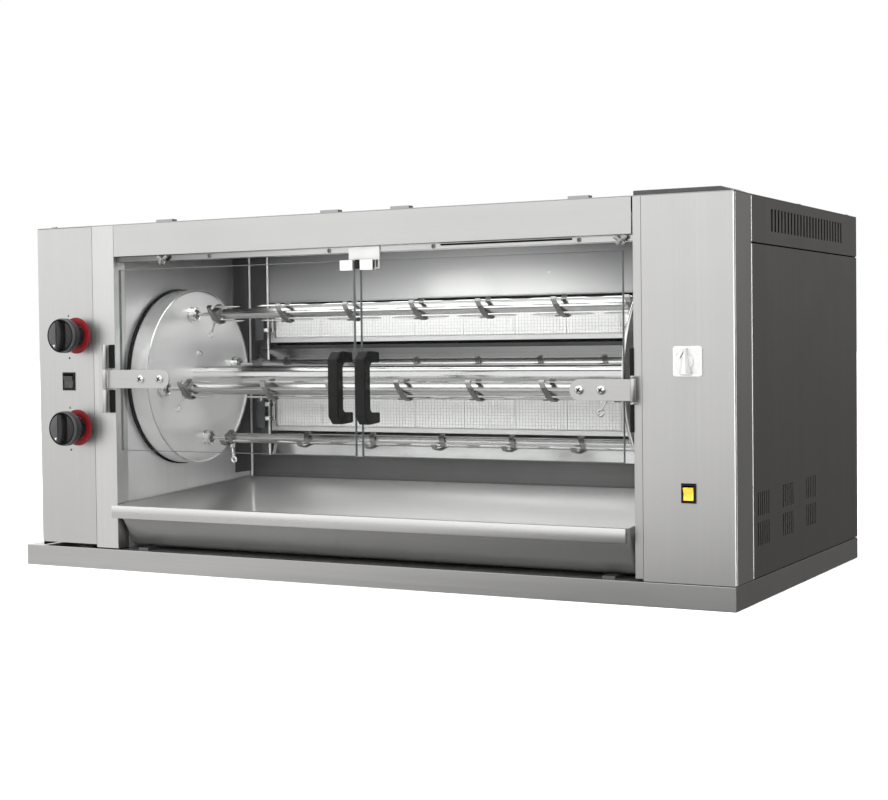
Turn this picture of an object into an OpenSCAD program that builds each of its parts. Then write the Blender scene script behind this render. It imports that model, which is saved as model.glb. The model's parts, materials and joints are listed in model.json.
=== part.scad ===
// Counter-top planetary rotisserie oven: steel cabinet on a plinth, two hinged glass doors,
// a four-spit rotor, two ceramic burners with reflectors and a slide-out drip pan.
// Origin: centre of the plinth's bottom face. +X to the viewer's right, +Y to the back, +Z up.

/* [Cabinet] */
// width of the cabinet above the plinth
body_w = 1250; // [1200:10:1300]
// depth of the cabinet, front face to back face
body_d = 660; // [650:5:700]
// height from the counter to the top of the roof sheet
body_h = 586; // [582:1:620]
// height of the folded plinth
base_h = 35; // [30:1:37]
// how far the plinth reaches past the left side
base_over = 36; // [20:1:60]
// thickness of the folded steel sheets
sheet = 1.5; // [1.2:0.1:2]
// width of the left control panel
left_panel_w = 120; // [115:1:125]
// width of the plain strip between the left panel and the opening
left_post_w = 46; // [44:1:50]
// width of the right control panel
right_panel_w = 136.3; // [130:0.1:140]
// width of the narrow strip between the right panel and the opening
right_post_w = 12.8; // [12:0.1:14]
// height of the beam over the doors
fascia_h = 53; // [45:1:60]

/* [Chamber] */
// depth of the cooking chamber behind the front face
chamber_d = 404; // [402:1:414]
// height of the chamber ceiling
ceiling_z = 568; // [564:1:574]

/* [Rotor] */
// distance of the rotor axis behind the front face
axis_back = 184; // [180:0.5:190]
// height of the rotor axis
axis_z = 325; // [322:1:328]
// radius of the two rotor discs
disc_r = 153; // [148:1:155]
// radius of the circle the spits sit on
spit_circle_r = 111; // [109:1:113]
// turn of the spit pattern at rest, top spit towards the front
spit_phase = 10; // [0:1:30]
// outside radius of the centre tube
tube_r = 18.5; // [15:0.5:22]
// across-flats size of a spit bar
spit_bar = 12.5; // [10:0.5:14]
// radius of the round ends of a spit
spit_end_r = 3.2; // [3:0.1:4]
// turns of a spit about its own axis for one turn of the rotor
spit_ratio = 3; // [2:1:4]
// distance between the two prongs of a fork
prong_gap = 30; // [26:1:34]
// length of a fork prong, tip to tip
prong_l = 110; // [90:1:114]

/* [Doors] */
// thickness of the door glass
glass_t = 6; // [5:0.5:6]
// height of the lower edge of the glass
glass_z0 = 204; // [196:1:212]
// height of the upper edge of the glass
glass_z1 = 509; // [500:1:512]
// height of the centre of the left hinge arm
left_arm_z = 325; // [310:1:340]
// height of the centre of the right hinge arm
right_arm_z = 309; // [300:0.5:330]
// height of a hinge arm
arm_h = 31; // [28:0.5:34]
// how far a handle stands off the glass
handle_out = 47; // [42:1:55]
// height of the centre of the handles
handle_z = 312; // [295:1:330]
// length of a handle
handle_l = 113; // [100:1:125]
// width of a handle
handle_w = 18; // [14:1:20]

/* [Controls] */
// radius of a gas knob
knob_r = 29.5; // [26:0.5:31]
// radius of the coloured ring behind a gas knob
bezel_r = 31; // [30:0.5:36]
// height of the upper gas knob
knob_hi_z = 399.5; // [390:0.5:410]
// height of the lower gas knob
knob_lo_z = 241.5; // [234:0.5:250]
// height of the black rocker switch
rocker_z = 321; // [315:1:327]
// height of the timer
timer_z = 349.5; // [330:0.5:370]
// height of the amber rocker switch
amber_z = 164; // [145:0.5:185]
// side of the square timer plate
timer_w = 43; // [40:0.5:48]

/* [Drip pan] */
// height of the pan rim at the front
pan_front_z = 112.5; // [108:0.5:118]
// height of the pan rim at the back
pan_back_z = 131; // [122:1:142]
// height of the front lip
pan_lip_h = 21.5; // [18:0.5:25]
// how far the lip stands in front of the cabinet
pan_out = 22; // [15:1:28]

/* [Hidden] */
$fn = 96;
eps = 0.01;
base_w = body_w + base_over;
xl = -base_w/2 + base_over;            // left face of the cabinet
xr = base_w/2;                         // right face
yf = -body_d/2;                        // front face
yb = body_d/2;                         // back face
seam = 0.4;                            // gap between neighbouring sheets
x_post = xl + left_panel_w;            // seam between left panel and left strip
x_open0 = x_post + left_post_w;        // left edge of the opening
x_rpanel = xr - right_panel_w;         // seam between right strip and right panel
x_open1 = x_rpanel - right_post_w;     // right edge of the opening
ch_y1 = yf + chamber_d;                // rear wall of the chamber
ret = 30;                              // depth of the folded returns
top_z = body_h - sheet;                // underside of the roof sheet
fascia_z0 = top_z - fascia_h;
strip_z0 = fascia_z0 - 9.5;            // lower edge of the strip under the beam
corner_d = 77;                         // depth of the folded corner on the right side
side_seam_z = 517;                     // seam between the two right side panels
ax_y = yf + axis_back;
disc_x0 = x_open0 + 8;                 // outer edge of the left drum
disc_x1 = disc_x0 + 32;                // face of the left disc
rdisc_x = x_open1 - 30;                // inner face of the right disc
shaft_r = 12;
fit = 0.05;                            // radial clearance of a running fit
wheel_gap = 0.4;                       // gap between the sun and planet wheels
planet_r = (spit_circle_r - wheel_gap)/(1 + spit_ratio);
sun_r = planet_r*spit_ratio;
hinge_y = yf - 9;                      // hinge axes stand in front of the face
hinge_xl = x_open0 - 15.4;
hinge_xr = x_open1 + 2.3;
knuckle_r = 4.2;
pin_r = 2.2;
glass_y0 = yf - 1;                     // front face of the glass
glass_y1 = glass_y0 + glass_t;
glass_l0 = x_open0 + 11;
glass_l1 = 32;
glass_r0 = 43;
glass_r1 = x_open1 - 15;
arm_y1 = glass_y0 - 2;                 // back face of the arms, on their pads
arm_t = 3;
knob_x = xl + 82;
rocker_x = xl + 65;
timer_x = xr - 68;
spindle_r = 4;
burner_x0 = x_open0 + 47;
burner_x1 = x_open1 - 47;
pan_x0 = x_open0 + 4;
pan_x1 = x_open1 - 6;
pan_z0 = base_h + 4;

// box from its low corner to its high corner
module bx(a, b) { translate(a) cube([b[0] - a[0], b[1] - a[1], b[2] - a[2]]); }
// round bar along X from x0 to x1
module rod_x(x0, x1, y, z, r) { translate([x0, y, z]) rotate([0, 90, 0]) cylinder(r = r, h = x1 - x0); }
// round bar along Y from y0 to y1
module rod_y(x, y0, y1, z, r) { translate([x, y0, z]) rotate([-90, 0, 0]) cylinder(r = r, h = y1 - y0); }
// section given in (Y, Z), drawn out along X
module along_x(x0, x1, pts) {
  translate([x0, 0, 0]) rotate([90, 0, 90]) linear_extrude(x1 - x0) polygon(pts);
}
// centre of spit i, 0 to 3, in (Y, Z): top, back, bottom, front
function spit_yz(i) = let(a = 90 + spit_phase - 90*i)
  [ax_y + spit_circle_r*cos(a), axis_z + spit_circle_r*sin(a)];

// ---------------------------------------------------------------- cabinet shell
plinth_t = 2;
hem = 25;
module base_plinth() color([0.62, 0.62, 0.61]) difference() {
  bx([-base_w/2, yf - 0.5, 0], [base_w/2, yb + 0.5, base_h]);
  bx([-base_w/2 + plinth_t, yf - 0.5 + plinth_t, plinth_t],
     [base_w/2 - plinth_t, yb + 0.5 - plinth_t, base_h - plinth_t]);
  bx([-base_w/2 + hem, yf + hem, -1], [base_w/2 - hem, yb - hem, plinth_t + 1]);
}
reveal = 7;
module left_front_panel() color([0.82, 0.82, 0.81]) difference() {
  union() {
    bx([xl, yf, base_h + reveal], [x_post - seam, yf + sheet, top_z - seam]);
    bx([x_post - seam - sheet, yf + sheet - eps, base_h + reveal],
       [x_post - seam, yf + ret, top_z - seam]);
  }
  for (z = [knob_hi_z, knob_lo_z]) rod_y(knob_x, yf - 1, yf + sheet + 1, z, spindle_r + 1.5);
  bx([rocker_x - 11.2, yf - 1, rocker_z - 13.2], [rocker_x + 11.2, yf + sheet + 1, rocker_z + 13.2]);
}
// a block of upright slots through a side sheet; y0, z0 is its low corner
module slots(x, y0, y1, z0, z1, n) {
  pitch = (y1 - y0)/n;
  for (i = [0 : n - 1])
    bx([x - 3, y0 + pitch*(i + 0.22), z0], [x + 3, y0 + pitch*(i + 0.78), z1]);
}
vent_y = [-231, -109, 16];
vent_z = [[81, 115], [124, 158.5]];
vent_rise = [0, 1.8, 3.6];
vent_w = 60;
module side_vents(x) {
  for (i = [0 : 2], z = vent_z)
    slots(x, vent_y[i], vent_y[i] + vent_w, z[0] + vent_rise[i], z[1] + vent_rise[i], 6);
}
module left_side_panel() color([0.45, 0.45, 0.44]) difference() {
  bx([xl, yf + sheet + seam, base_h + 1], [xl + sheet, yb, top_z - seam]);
  side_vents(xl);
}
module left_post() color([0.80, 0.80, 0.79]) {
  bx([x_post, yf, base_h + 2], [x_open0, yf + sheet, top_z]);
  bx([x_open0 - sheet, yf + sheet - eps, base_h + 2], [x_open0, yf + ret, top_z]);
}
module right_post() color([0.72, 0.72, 0.71]) {
  bx([x_open1, yf, base_h + 4], [x_rpanel - seam, yf + sheet, top_z]);
  bx([x_open1, yf + sheet - eps, base_h + 4], [x_open1 + sheet, yf + ret, top_z]);
}
module right_front_panel() color([0.78, 0.78, 0.77]) difference() {
  union() {
    bx([x_rpanel, yf, base_h + 1], [xr, yf + sheet, top_z]);
    bx([xr - sheet, yf + sheet - eps, base_h + 1], [xr, yf + corner_d - seam, top_z]);
    bx([x_rpanel, yf + sheet - eps, base_h + 1], [x_rpanel + sheet, yf + ret, top_z]);
  }
  rod_y(timer_x, yf - 1, yf + sheet + 1, timer_z, spindle_r + 1.5);
  bx([timer_x - 8.7, yf - 1, amber_z - 11.7], [timer_x + 8.7, yf + sheet + 1, amber_z + 11.7]);
}
grille_n = 24;
module right_upper_side() color([0.36, 0.36, 0.34]) difference() {
  bx([xr - sheet, yf + corner_d + seam, side_seam_z + 1], [xr, yb, top_z]);
  slots(xr, -161, 240, 537, 570, grille_n);
}
module right_side_panel() color([0.36, 0.36, 0.34]) difference() {
  union() {
    bx([xr - sheet, yf + corner_d + seam, base_h + 1.5], [xr, yb, side_seam_z - 1]);
    bx([xr - 12, yf + corner_d + seam, side_seam_z - 1 - sheet], [xr - sheet + eps, yb - 12, side_seam_z - 1]);
  }
  side_vents(xr);
}
module top_fascia() color([0.80, 0.80, 0.79]) {
  bx([x_open0 + seam, yf, fascia_z0], [x_open1 - 2, yf + sheet, top_z]);
  bx([x_open0 + seam, yf + sheet - eps, fascia_z0], [x_open1 - 2, yf + ret, fascia_z0 + sheet]);
}
tab_x = [-350, -29, 98, 394];
tab_w = 33;
module roof_panel() color([0.60, 0.60, 0.59]) difference() {
  union() {
    bx([xl, yf + 0.5, top_z + eps], [xr, yb, body_h]);
    for (x = tab_x) bx([x, yf + 0.5, body_h - eps], [x + tab_w, yf + 14, body_h + 4]);
    for (y = [-4, 279]) bx([xr - 24, y, body_h - eps], [xr - 4, y + 14, body_h + 1.8]);
    translate([xl + 22, yf + 20, body_h - eps]) cylinder(r = 5, h = 3);
  }
  for (r = [0 : 2], i = [0 : 11])
    bx([-330 + 60*i, 130 + 50*r, top_z - 1], [-288 + 60*i, 138 + 50*r, body_h + 1]);
}
cap_h = 6.5;
module right_cap() color([0.30, 0.30, 0.30]) {
  translate([0, yf + 76, 0]) rotate([90, 0, 0]) linear_extrude(75)
    polygon([[x_open1 + 1, body_h], [xr - 1, body_h], [xr - 19, body_h + cap_h], [x_open1 + 1, body_h + cap_h]]);
  translate([x_open1 + 39, yf + 40, body_h + cap_h - eps]) cylinder(r = 5, h = 2);
}
inlet_x = -500;
inlet_z = 110;
inlet_r = 10;
riser_r = 8;
valve_r = 15;
rail_y = yf + 75;                      // plane of the gas pipework behind the panel
module back_panel() color([0.55, 0.55, 0.54]) difference() {
  bx([xl + sheet + seam, yb - sheet, base_h + 1], [xr - sheet - seam, yb, top_z - seam]);
  rod_y(inlet_x, yb - 5, yb + 5, inlet_z, 12);
  rod_y(xr - 90, yb - 5, yb + 5, 90, 9.5);
  for (c = [0 : 5], i = [0 : 7])
    bx([-380 + 130*c, yb - 5, 424 + 14*i], [-290 + 130*c, yb + 5, 430 + 14*i]);
}

// ---------------------------------------------------------------- chamber
module left_liner() color([0.66, 0.66, 0.65]) difference() {
  bx([x_open0 - sheet, yf + ret + seam, base_h + 0.5], [x_open0, ch_y1, ceiling_z]);
  rod_x(x_open0 - 5, x_open0 + 5, ax_y, axis_z, 26);
}
module right_liner() color([0.66, 0.66, 0.65]) difference() {
  bx([x_open1, yf + ret + seam, base_h + 0.5], [x_open1 + sheet, ch_y1, ceiling_z]);
  rod_x(x_open1 - 5, x_open1 + 5, ax_y, axis_z, shaft_r + 4);
}
window_hi = [378, 459];
window_lo = [214, 295];
module rear_liner() color([0.30, 0.30, 0.30]) difference() {
  bx([x_open0, ch_y1, base_h + 0.5], [x_open1, ch_y1 + sheet, ceiling_z]);
  for (w = [window_hi, window_lo])
    bx([burner_x0 + 14, ch_y1 - 2, w[0]], [burner_x1 - 14, ch_y1 + 5, w[1]]);
}
module ceiling_liner() color([0.45, 0.45, 0.45])
  bx([x_open0, yf + ret + seam, ceiling_z - sheet], [x_open1, ch_y1, ceiling_z]);
shield_d = 55;
module side_shields() color([0.34, 0.34, 0.34]) {
  bx([x_open0 + eps, ch_y1 - shield_d, base_h + 106], [x_open0 + 2, ch_y1 - seam, ceiling_z - 4]);
  bx([x_open1 - 2, ch_y1 - shield_d, base_h + 106], [x_open1 - eps, ch_y1 - seam, ceiling_z - 4]);
}
strip_y = yf + 9;
module air_strip() color([0.70, 0.70, 0.69]) difference() {
  union() {
    bx([x_open0 + seam, strip_y, strip_z0], [x_open1 - 2, strip_y + sheet, fascia_z0 - seam]);
    bx([x_open0 + seam, strip_y + sheet - eps, strip_z0], [x_open1 - 2, yf + ret + 4, strip_z0 + sheet]);
  }
  bx([180, strip_y - 1, fascia_z0 - 4.4], [397, strip_y + sheet + 1, fascia_z0 - 1.9]);
}
strip_screw_x = [-249, -18, 168, 408];
wing_x = [-341, 474];
wing_z = fascia_z0 - 9.5;
module strip_fasteners() color([0.75, 0.75, 0.74]) {
  for (x = strip_screw_x) rod_y(x, strip_y - 2.5, strip_y, fascia_z0 - 5, 3.4);
  for (x = wing_x) {
    rod_y(x, strip_y - 9, strip_y, wing_z, 4.2);
    for (s = [-1, 1]) translate([x, strip_y - 7, wing_z]) rotate([0, s*62, 0])
      bx([-2.2, -1.2, 0], [2.2, 1.2, 11]);
  }
}
refl_y = ch_y1 - 4;
module upper_reflector() color([0.80, 0.80, 0.80])
  along_x(burner_x0, burner_x1, [[refl_y - 15, 457], [refl_y - 13.5, 457], [refl_y - 19.5, 562],
    [refl_y - 21, 562]]);
// trough section between two heights: lips at the front, belly at the back
function trough(z0, z1, d, t) = let(n = 14) concat(
  [for (i = [0 : n]) let(a = i/n) [refl_y - 26 + d*sin(180*a), z0 + (z1 - z0)*a]],
  [for (i = [n : -1 : 0]) let(a = i/n) [refl_y - 26 + t + d*sin(180*a), z0 + (z1 - z0)*a]]);
module middle_reflector() color([0.78, 0.78, 0.78])
  along_x(burner_x0, burner_x1, trough(292, 371.5, 22, sheet));
module lower_reflector() color([0.78, 0.78, 0.78])
  along_x(burner_x0, burner_x1, [[refl_y - 17, 174], [refl_y - 15.5, 174], [refl_y - 8, 213],
    [refl_y - 9.5, 213]]);
burner_h = 70;
burner_zc = [418.5, 254.5];
module burner_bodies() color([0.55, 0.55, 0.54]) for (z = burner_zc) difference() {
  union() {
    bx([burner_x0 + 18, refl_y - 22, z - burner_h/2], [burner_x1 - 18, refl_y + 60, z + burner_h/2]);
    rod_x(burner_x0 + 60, burner_x1 - 140, refl_y + 78, z, 19);
    for (x = [burner_x0 + 120, 0, burner_x1 - 200])
      bx([x - 14, refl_y + 58, z - 14], [x + 14, refl_y + 76, z + 14]);
  }
  bx([burner_x0 + 26, refl_y - 30, z - burner_h/2 + 8], [burner_x1 - 26, refl_y - 8, z + burner_h/2 - 8]);
}
plaque_n = 8;
module burner_plaques() color([0.93, 0.92, 0.88]) for (z = burner_zc, i = [0 : plaque_n - 1]) {
  w = (burner_x1 - burner_x0 - 56)/plaque_n;
  bx([burner_x0 + 28 + w*i + 0.5, refl_y - 18, z - burner_h/2 + 9],
     [burner_x0 + 28 + w*(i + 1) - 0.5, refl_y - 8.2, z + burner_h/2 - 9]);
}
module igniters() color([0.20, 0.20, 0.20]) for (z = burner_zc) {
  bx([burner_x0 - 1, refl_y - 44, z - 30], [burner_x0 + 1.5, refl_y - 2, z + 34]);
  bx([burner_x0 + 1, refl_y - 44, z - 30], [burner_x0 + 16, refl_y - 42, z + 34]);
  for (s = [-12, 14]) rod_x(burner_x0 + 1, burner_x0 + 34, refl_y - 36, z + s, 3);
  translate([burner_x0 + 34, refl_y - 36, z - 12]) cylinder(r = 2, h = 26);
}
module gas_rail() color([0.72, 0.60, 0.30]) {
  rod_y(inlet_x, rail_y - 20, yb + 30, inlet_z, inlet_r);
  rod_y(inlet_x, yb + 1, yb + 12, inlet_z, inlet_r + 5);
  translate([inlet_x, rail_y, inlet_z]) cylinder(r = riser_r, h = knob_hi_z - inlet_z + 40);
  for (z = [knob_hi_z, knob_lo_z]) rod_x(knob_x + valve_r + 0.6, inlet_x, rail_y, z, riser_r - 2.5);
}
module gas_valves() color([0.70, 0.58, 0.30]) for (z = [knob_hi_z, knob_lo_z]) difference() {
  union() {
    rod_y(knob_x, yf + 26, yf + 92, z, valve_r);
    bx([knob_x - 17, yf + 50, z - 17], [knob_x + 12, yf + 88, z + 17]);
  }
  rod_y(knob_x, yf + 20, yf + 70, z, spindle_r + fit);
}
module gearmotor() color([0.25, 0.26, 0.27]) difference() {
  union() {
    bx([x_open0 - 78, ax_y - 34, axis_z - 60], [x_open0 - 34, ax_y + 34, axis_z + 34]);
    rod_x(x_open0 - 150, x_open0 - 77, ax_y, axis_z - 28, 27);
    bx([x_open0 - 34, ax_y - 44, axis_z - 70], [x_open0 - 30, ax_y + 44, axis_z + 44]);
    for (y = [-40, 40], z = [-64, 38])
      rod_x(x_open0 - 32, x_open0 - sheet, ax_y + y, axis_z + z, 4);
  }
  rod_x(x_open0 - 90, x_open0 - 20, ax_y, axis_z, shaft_r + fit);
}
module sun_hub() color([0.62, 0.62, 0.60]) difference() {
  union() {
    rod_x(x_open0 + eps, x_open0 + 14, ax_y, axis_z, 34);
    rod_x(x_open0 + 13, x_open0 + 25, ax_y, axis_z, sun_r);
  }
  rod_x(x_open0 - 1, x_open0 + 30, ax_y, axis_z, shaft_r + 1);
}
module right_bearing() color([0.62, 0.62, 0.60]) difference() {
  union() {
    rod_x(x_open1 + sheet, x_open1 + 20, ax_y, axis_z, 24);
    bx([x_open1 + sheet, ax_y - 40, axis_z - 14], [x_open1 + 8, ax_y + 40, axis_z + 14]);
  }
  rod_x(x_open1 - 1, x_open1 + 30, ax_y, axis_z, shaft_r + fit);
}
module pan_runners() color([0.40, 0.40, 0.40]) for (x = [pan_x0 + 30, pan_x1 - 50])
  bx([x, yf + 12, base_h], [x + 20, ch_y1 - 10, pan_z0 - 0.1]);

// ---------------------------------------------------------------- hinges and catch
left_br_z = [left_arm_z - 57, left_arm_z + 58];
module hinge_brackets() color([0.80, 0.80, 0.79]) {
  // left: leaf on the strip, a knuckle above and below the arm, and the pin
  bx([hinge_xl - 18, yf - 2.5, left_br_z[0]], [hinge_xl - 1, yf, left_br_z[1]]);
  for (z = [[left_br_z[0], left_arm_z - 18], [left_arm_z + 18, left_br_z[1]]]) {
    translate([hinge_xl, hinge_y, z[0]]) cylinder(r = knuckle_r, h = z[1] - z[0]);
    bx([hinge_xl - knuckle_r, hinge_y, z[0]], [hinge_xl - 1, yf - 2, z[1]]);
  }
  translate([hinge_xl, hinge_y, left_br_z[0] + 1]) cylinder(r = pin_r, h = left_br_z[1] - left_br_z[0] - 2);
  // right: two thin lugs standing off the narrow strip, and the pin
  for (z = [right_arm_z - 20.5, right_arm_z + 17.5]) {
    translate([hinge_xr, hinge_y, z]) cylinder(r = knuckle_r, h = 3);
    bx([hinge_xr - 1, hinge_y, z], [hinge_xr + knuckle_r, yf, z + 3]);
  }
  translate([hinge_xr, hinge_y, right_arm_z - 19]) cylinder(r = pin_r, h = 38);
}
module hinge_strips() color([0.08, 0.08, 0.08]) {
  for (z = [[left_br_z[0], left_arm_z - 18.5], [left_arm_z + 18.5, left_br_z[1]]])
    bx([x_open0 - 10.5, yf - 3, z[0]], [x_open0 - 0.5, yf, z[1]]);
  for (z = [[right_arm_z - 60, right_arm_z - 21], [right_arm_z + 21, right_arm_z + 60]])
    bx([x_open1 - 4.5, yf - 3, z[0]], [x_open1 - eps, yf + 12, z[1]]);
}
module catch_bracket() color([0.92, 0.92, 0.91]) {
  bx([19, glass_y1 + 1.2, glass_z1 + 1.5], [74.5, strip_y, fascia_z0 - 1]);
  bx([42.5, glass_y1 + 1.2, glass_z1 - 13], [74.5, glass_y1 + 2.6, glass_z1 + 2]);
}
module catch_magnet() color([0.06, 0.06, 0.06]) {
  bx([34, glass_y0 + 0.5, glass_z1 - 13], [41, glass_y1 + 2.6, glass_z1 + 1.4]);
  bx([69, glass_y1 + 0.3, glass_z1 - 11], [71.5, glass_y1 + 1.19, glass_z1 + 1]);
}
module glass_pane(x0, x1) bx([x0, glass_y0, glass_z0], [x1, glass_y1, glass_z1]);
module left_glass() color([0.85, 0.90, 0.90, 0.3]) glass_pane(glass_l0, glass_l1);
module right_glass() color([0.85, 0.90, 0.90, 0.3]) glass_pane(glass_r0, glass_r1);
// hinge arm: s = 1 reaches to the right of its hinge, s = -1 to the left
module arm(hx, zc, s, reach, screws) {
  difference() {
    union() {
      translate([hx, hinge_y, zc - arm_h/2 - 1]) cylinder(r = knuckle_r, h = arm_h + 2);
      translate([hx, 0, 0]) scale([s, 1, 1]) {
        bx([0, hinge_y, zc - arm_h/2], [6.4, arm_y1, zc + arm_h/2]);
        bx([5, arm_y1 - arm_t, zc - arm_h/2], [reach - arm_h/2, arm_y1, zc + arm_h/2]);
        rod_y(reach - arm_h/2, arm_y1 - arm_t, arm_y1, zc, arm_h/2);
        bx([28, arm_y1 - eps, zc - arm_h/2 + 2], [reach - 16, glass_y0, zc + arm_h/2 - 2]);
        for (x = screws) rod_y(x, arm_y1 - arm_t - 2.2, arm_y1 - arm_t, zc, 5.5);
      }
    }
    translate([hx, hinge_y, zc - arm_h]) cylinder(r = pin_r + fit, h = 2*arm_h);
  }
}
module left_door_metal() color([0.80, 0.80, 0.79]) {
  arm(hinge_xl, left_arm_z, 1, 132, [73.5, 113]);
  bx([8, glass_y1, glass_z1 - 14.5], [31, glass_y1 + 1, glass_z1 - 0.5]);
}
module right_door_metal() color([0.80, 0.80, 0.79]) {
  arm(hinge_xr, right_arm_z, -1, 99.5, [49.8, 84]);
  bx([44, glass_y1, glass_z1 - 14.5], [67, glass_y1 + 1, glass_z1 - 0.5]);
}
// C-shaped pull seen from the side: chamfered outside and inside
module handle(x0) {
  o = glass_y0 - handle_out;
  z0 = handle_z - handle_l/2;
  z1 = handle_z + handle_l/2;
  c = 12;
  t = 18;
  along_x(x0, x0 + handle_w, [[glass_y0, z0 + 2], [glass_y0 - 24, z0], [o + c, z0], [o, z0 + c], [o, z1 - c],
    [o + c, z1], [glass_y0 - 24, z1], [glass_y0, z1 - 2], [glass_y0, z1 - t], [o + t + 6, z1 - t],
    [o + t, z1 - t - 6], [o + t, z0 + t + 6], [o + t + 6, z0 + t], [glass_y0, z0 + t]]);
}
module left_handle() color([0.05, 0.05, 0.05]) handle(10.5);
module right_handle() color([0.05, 0.05, 0.05]) handle(59);

// ---------------------------------------------------------------- rotor
cup_r = 11.5;
cup_l = 11;
module disc_left() color([0.80, 0.80, 0.79]) difference() {
  union() {
    rod_x(disc_x1 - 3, disc_x1, ax_y, axis_z, disc_r);
    difference() {
      rod_x(disc_x0, disc_x1, ax_y, axis_z, disc_r);
      rod_x(disc_x0 - 1, disc_x1 - 3, ax_y, axis_z, disc_r - 3);
    }
    difference() {
      rod_x(disc_x1 - eps, disc_x1 + 2, ax_y, axis_z, disc_r);
      rod_x(disc_x1 - 1, disc_x1 + 3, ax_y, axis_z, disc_r - 4);
    }
    for (i = [0 : 3]) let(p = spit_yz(i)) rod_x(disc_x1 - 3, disc_x1 + cup_l, p[0], p[1], cup_r);
    rod_x(disc_x1 - 1, disc_x1 + 4, ax_y, axis_z + 41, 4.5);
  }
  for (i = [0 : 3]) let(p = spit_yz(i)) {
    rod_x(disc_x1 - 10, disc_x1 + 30, p[0], p[1], spit_end_r + fit);
    rod_x(disc_x1 + 5, disc_x1 + 30, p[0], p[1], cup_r - 3);
  }
  rod_x(disc_x1 - 40, disc_x1 + 3, ax_y, axis_z, tube_r - 1);
}
module disc_right() color([0.78, 0.78, 0.77]) difference() {
  union() {
    rod_x(rdisc_x, rdisc_x + 3, ax_y, axis_z, disc_r);
    for (i = [0 : 3]) let(p = spit_yz(i)) rod_x(rdisc_x - cup_l, rdisc_x + 3, p[0], p[1], cup_r);
  }
  for (i = [0 : 3]) let(p = spit_yz(i)) {
    rod_x(rdisc_x - 30, rdisc_x + 10, p[0], p[1], spit_end_r + fit);
    rod_x(rdisc_x - 30, rdisc_x - 5, p[0], p[1], cup_r - 3);
  }
  rod_x(rdisc_x - 1, rdisc_x + 4, ax_y, axis_z, tube_r - 1);
}
module rotor_tube() color([0.85, 0.85, 0.84]) {
  rod_x(disc_x1, rdisc_x, ax_y, axis_z, tube_r);
  rod_x(disc_x1 - 3, disc_x1 + eps, ax_y, axis_z, tube_r - 1);
  rod_x(rdisc_x - eps, rdisc_x + 3, ax_y, axis_z, tube_r - 1);
  rod_x(x_open0 - 80, disc_x1, ax_y, axis_z, shaft_r);
  rod_x(rdisc_x, x_open1 + 18, ax_y, axis_z, shaft_r);
}

clip_h = 34;
clip_w = 12;
fork_tilt = [29, -70, -72, 25];
fork_x = [[-204, -71, 56, 177, 309], [-285, -150, -19, 100, 215, 330],
          [-186, -55, 77, 205, 326], [-178, -52, 76, 203, 328]];
end_clip = [-347, 431];
lever_lean = [20, 0, -8, 30];
// one fork on a spit drawn along X through the origin: a clamp plate and two prongs
module fork(x, tilt, half) {
  rotate([tilt, 0, 0]) {
    bx([x - clip_w/2, -spit_bar/2 - 3, -spit_bar/2 - 2.5], [x + clip_w/2, spit_bar/2 + 3, spit_bar/2 + 2.5]);
    bx([x - clip_w/2, -1.5, -clip_h/2], [x + clip_w/2, 1.5, clip_h/2]);
    for (s = [-1, 1]) rod_x(x - (half == 1 ? 4 : prong_l/2), x + (half == -1 ? 4 : prong_l/2),
                            0, s*prong_gap/2, 1.9);
  }
}
// thumb lever of an end clamp, hanging down and leaning along X
module lever(x, lean) translate([x, 0, 0]) rotate([0, lean, 0]) {
  translate([0, 0, -18]) cylinder(r = 4.5, h = 12);
  translate([0, 0, -36]) cylinder(r = 2.4, h = 22);
  rotate([90, 0, 0]) translate([0, -40, -1.6]) cylinder(r = 6, h = 3.2);
}
module spit(i) {
  p = spit_yz(i);
  translate([0, p[0], p[1]]) {
    rod_x(x_open0 + 10, rdisc_x + 8, 0, 0, spit_end_r);
    rod_x(x_open0 + 12.5, x_open0 + 24.5, 0, 0, planet_r);
    rod_x(disc_x1 + 6, disc_x1 + 10, 0, 0, spit_end_r + 1.6);
    rotate([45, 0, 0]) bx([disc_x1 + 68, -spit_bar/2, -spit_bar/2], [rdisc_x - 22, spit_bar/2, spit_bar/2]);
    for (x = fork_x[i]) fork(x, fork_tilt[i], 0);
    fork(end_clip[0], fork_tilt[i], 1);
    fork(end_clip[1], fork_tilt[i], -1);
    for (x = end_clip) lever(x, lever_lean[i]);
  }
}
module spit_1() color([0.72, 0.72, 0.71]) spit(0);
module spit_2() color([0.72, 0.72, 0.71]) spit(1);
module spit_3() color([0.72, 0.72, 0.71]) spit(2);
module spit_4() color([0.72, 0.72, 0.71]) spit(3);

// ---------------------------------------------------------------- controls
module knob_bezels() color([0.70, 0.08, 0.10]) for (z = [knob_hi_z, knob_lo_z]) difference() {
  rod_y(knob_x, yf - 2, yf, z, bezel_r);
  rod_y(knob_x, yf - 3, yf + 1, z, bezel_r - 12);
}
push = 4;
knob_y1 = yf - 3 - push;
knob_y0 = knob_y1 - 35;
knob_face_d = 19;                      // depth of the wide front part of a knob
knob_neck_r = 20;
module spindle(z) {
  rod_y(knob_x, knob_y0 + 6, yf + 62, z, spindle_r);
  rod_y(knob_x, yf + 12, yf + 15, z, spindle_r + 1);
}
module upper_spindle() color([0.75, 0.75, 0.74]) spindle(knob_hi_z);
module lower_spindle() color([0.75, 0.75, 0.74]) spindle(knob_lo_z);
module knob(z) {
  difference() {
    union() {
      rod_y(knob_x, knob_y0, knob_y0 + knob_face_d, z, knob_r);
      rod_y(knob_x, knob_y0 + knob_face_d - eps, knob_y1, z, knob_neck_r);
      translate([knob_x, knob_y0 - 7, z]) rotate([0, 8, 0]) bx([-7, 0, -26], [7, 7.5, 26]);
    }
    rod_y(knob_x, knob_y0 + 5.5, knob_y1 + 1, z, spindle_r + fit);
  }
}
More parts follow.
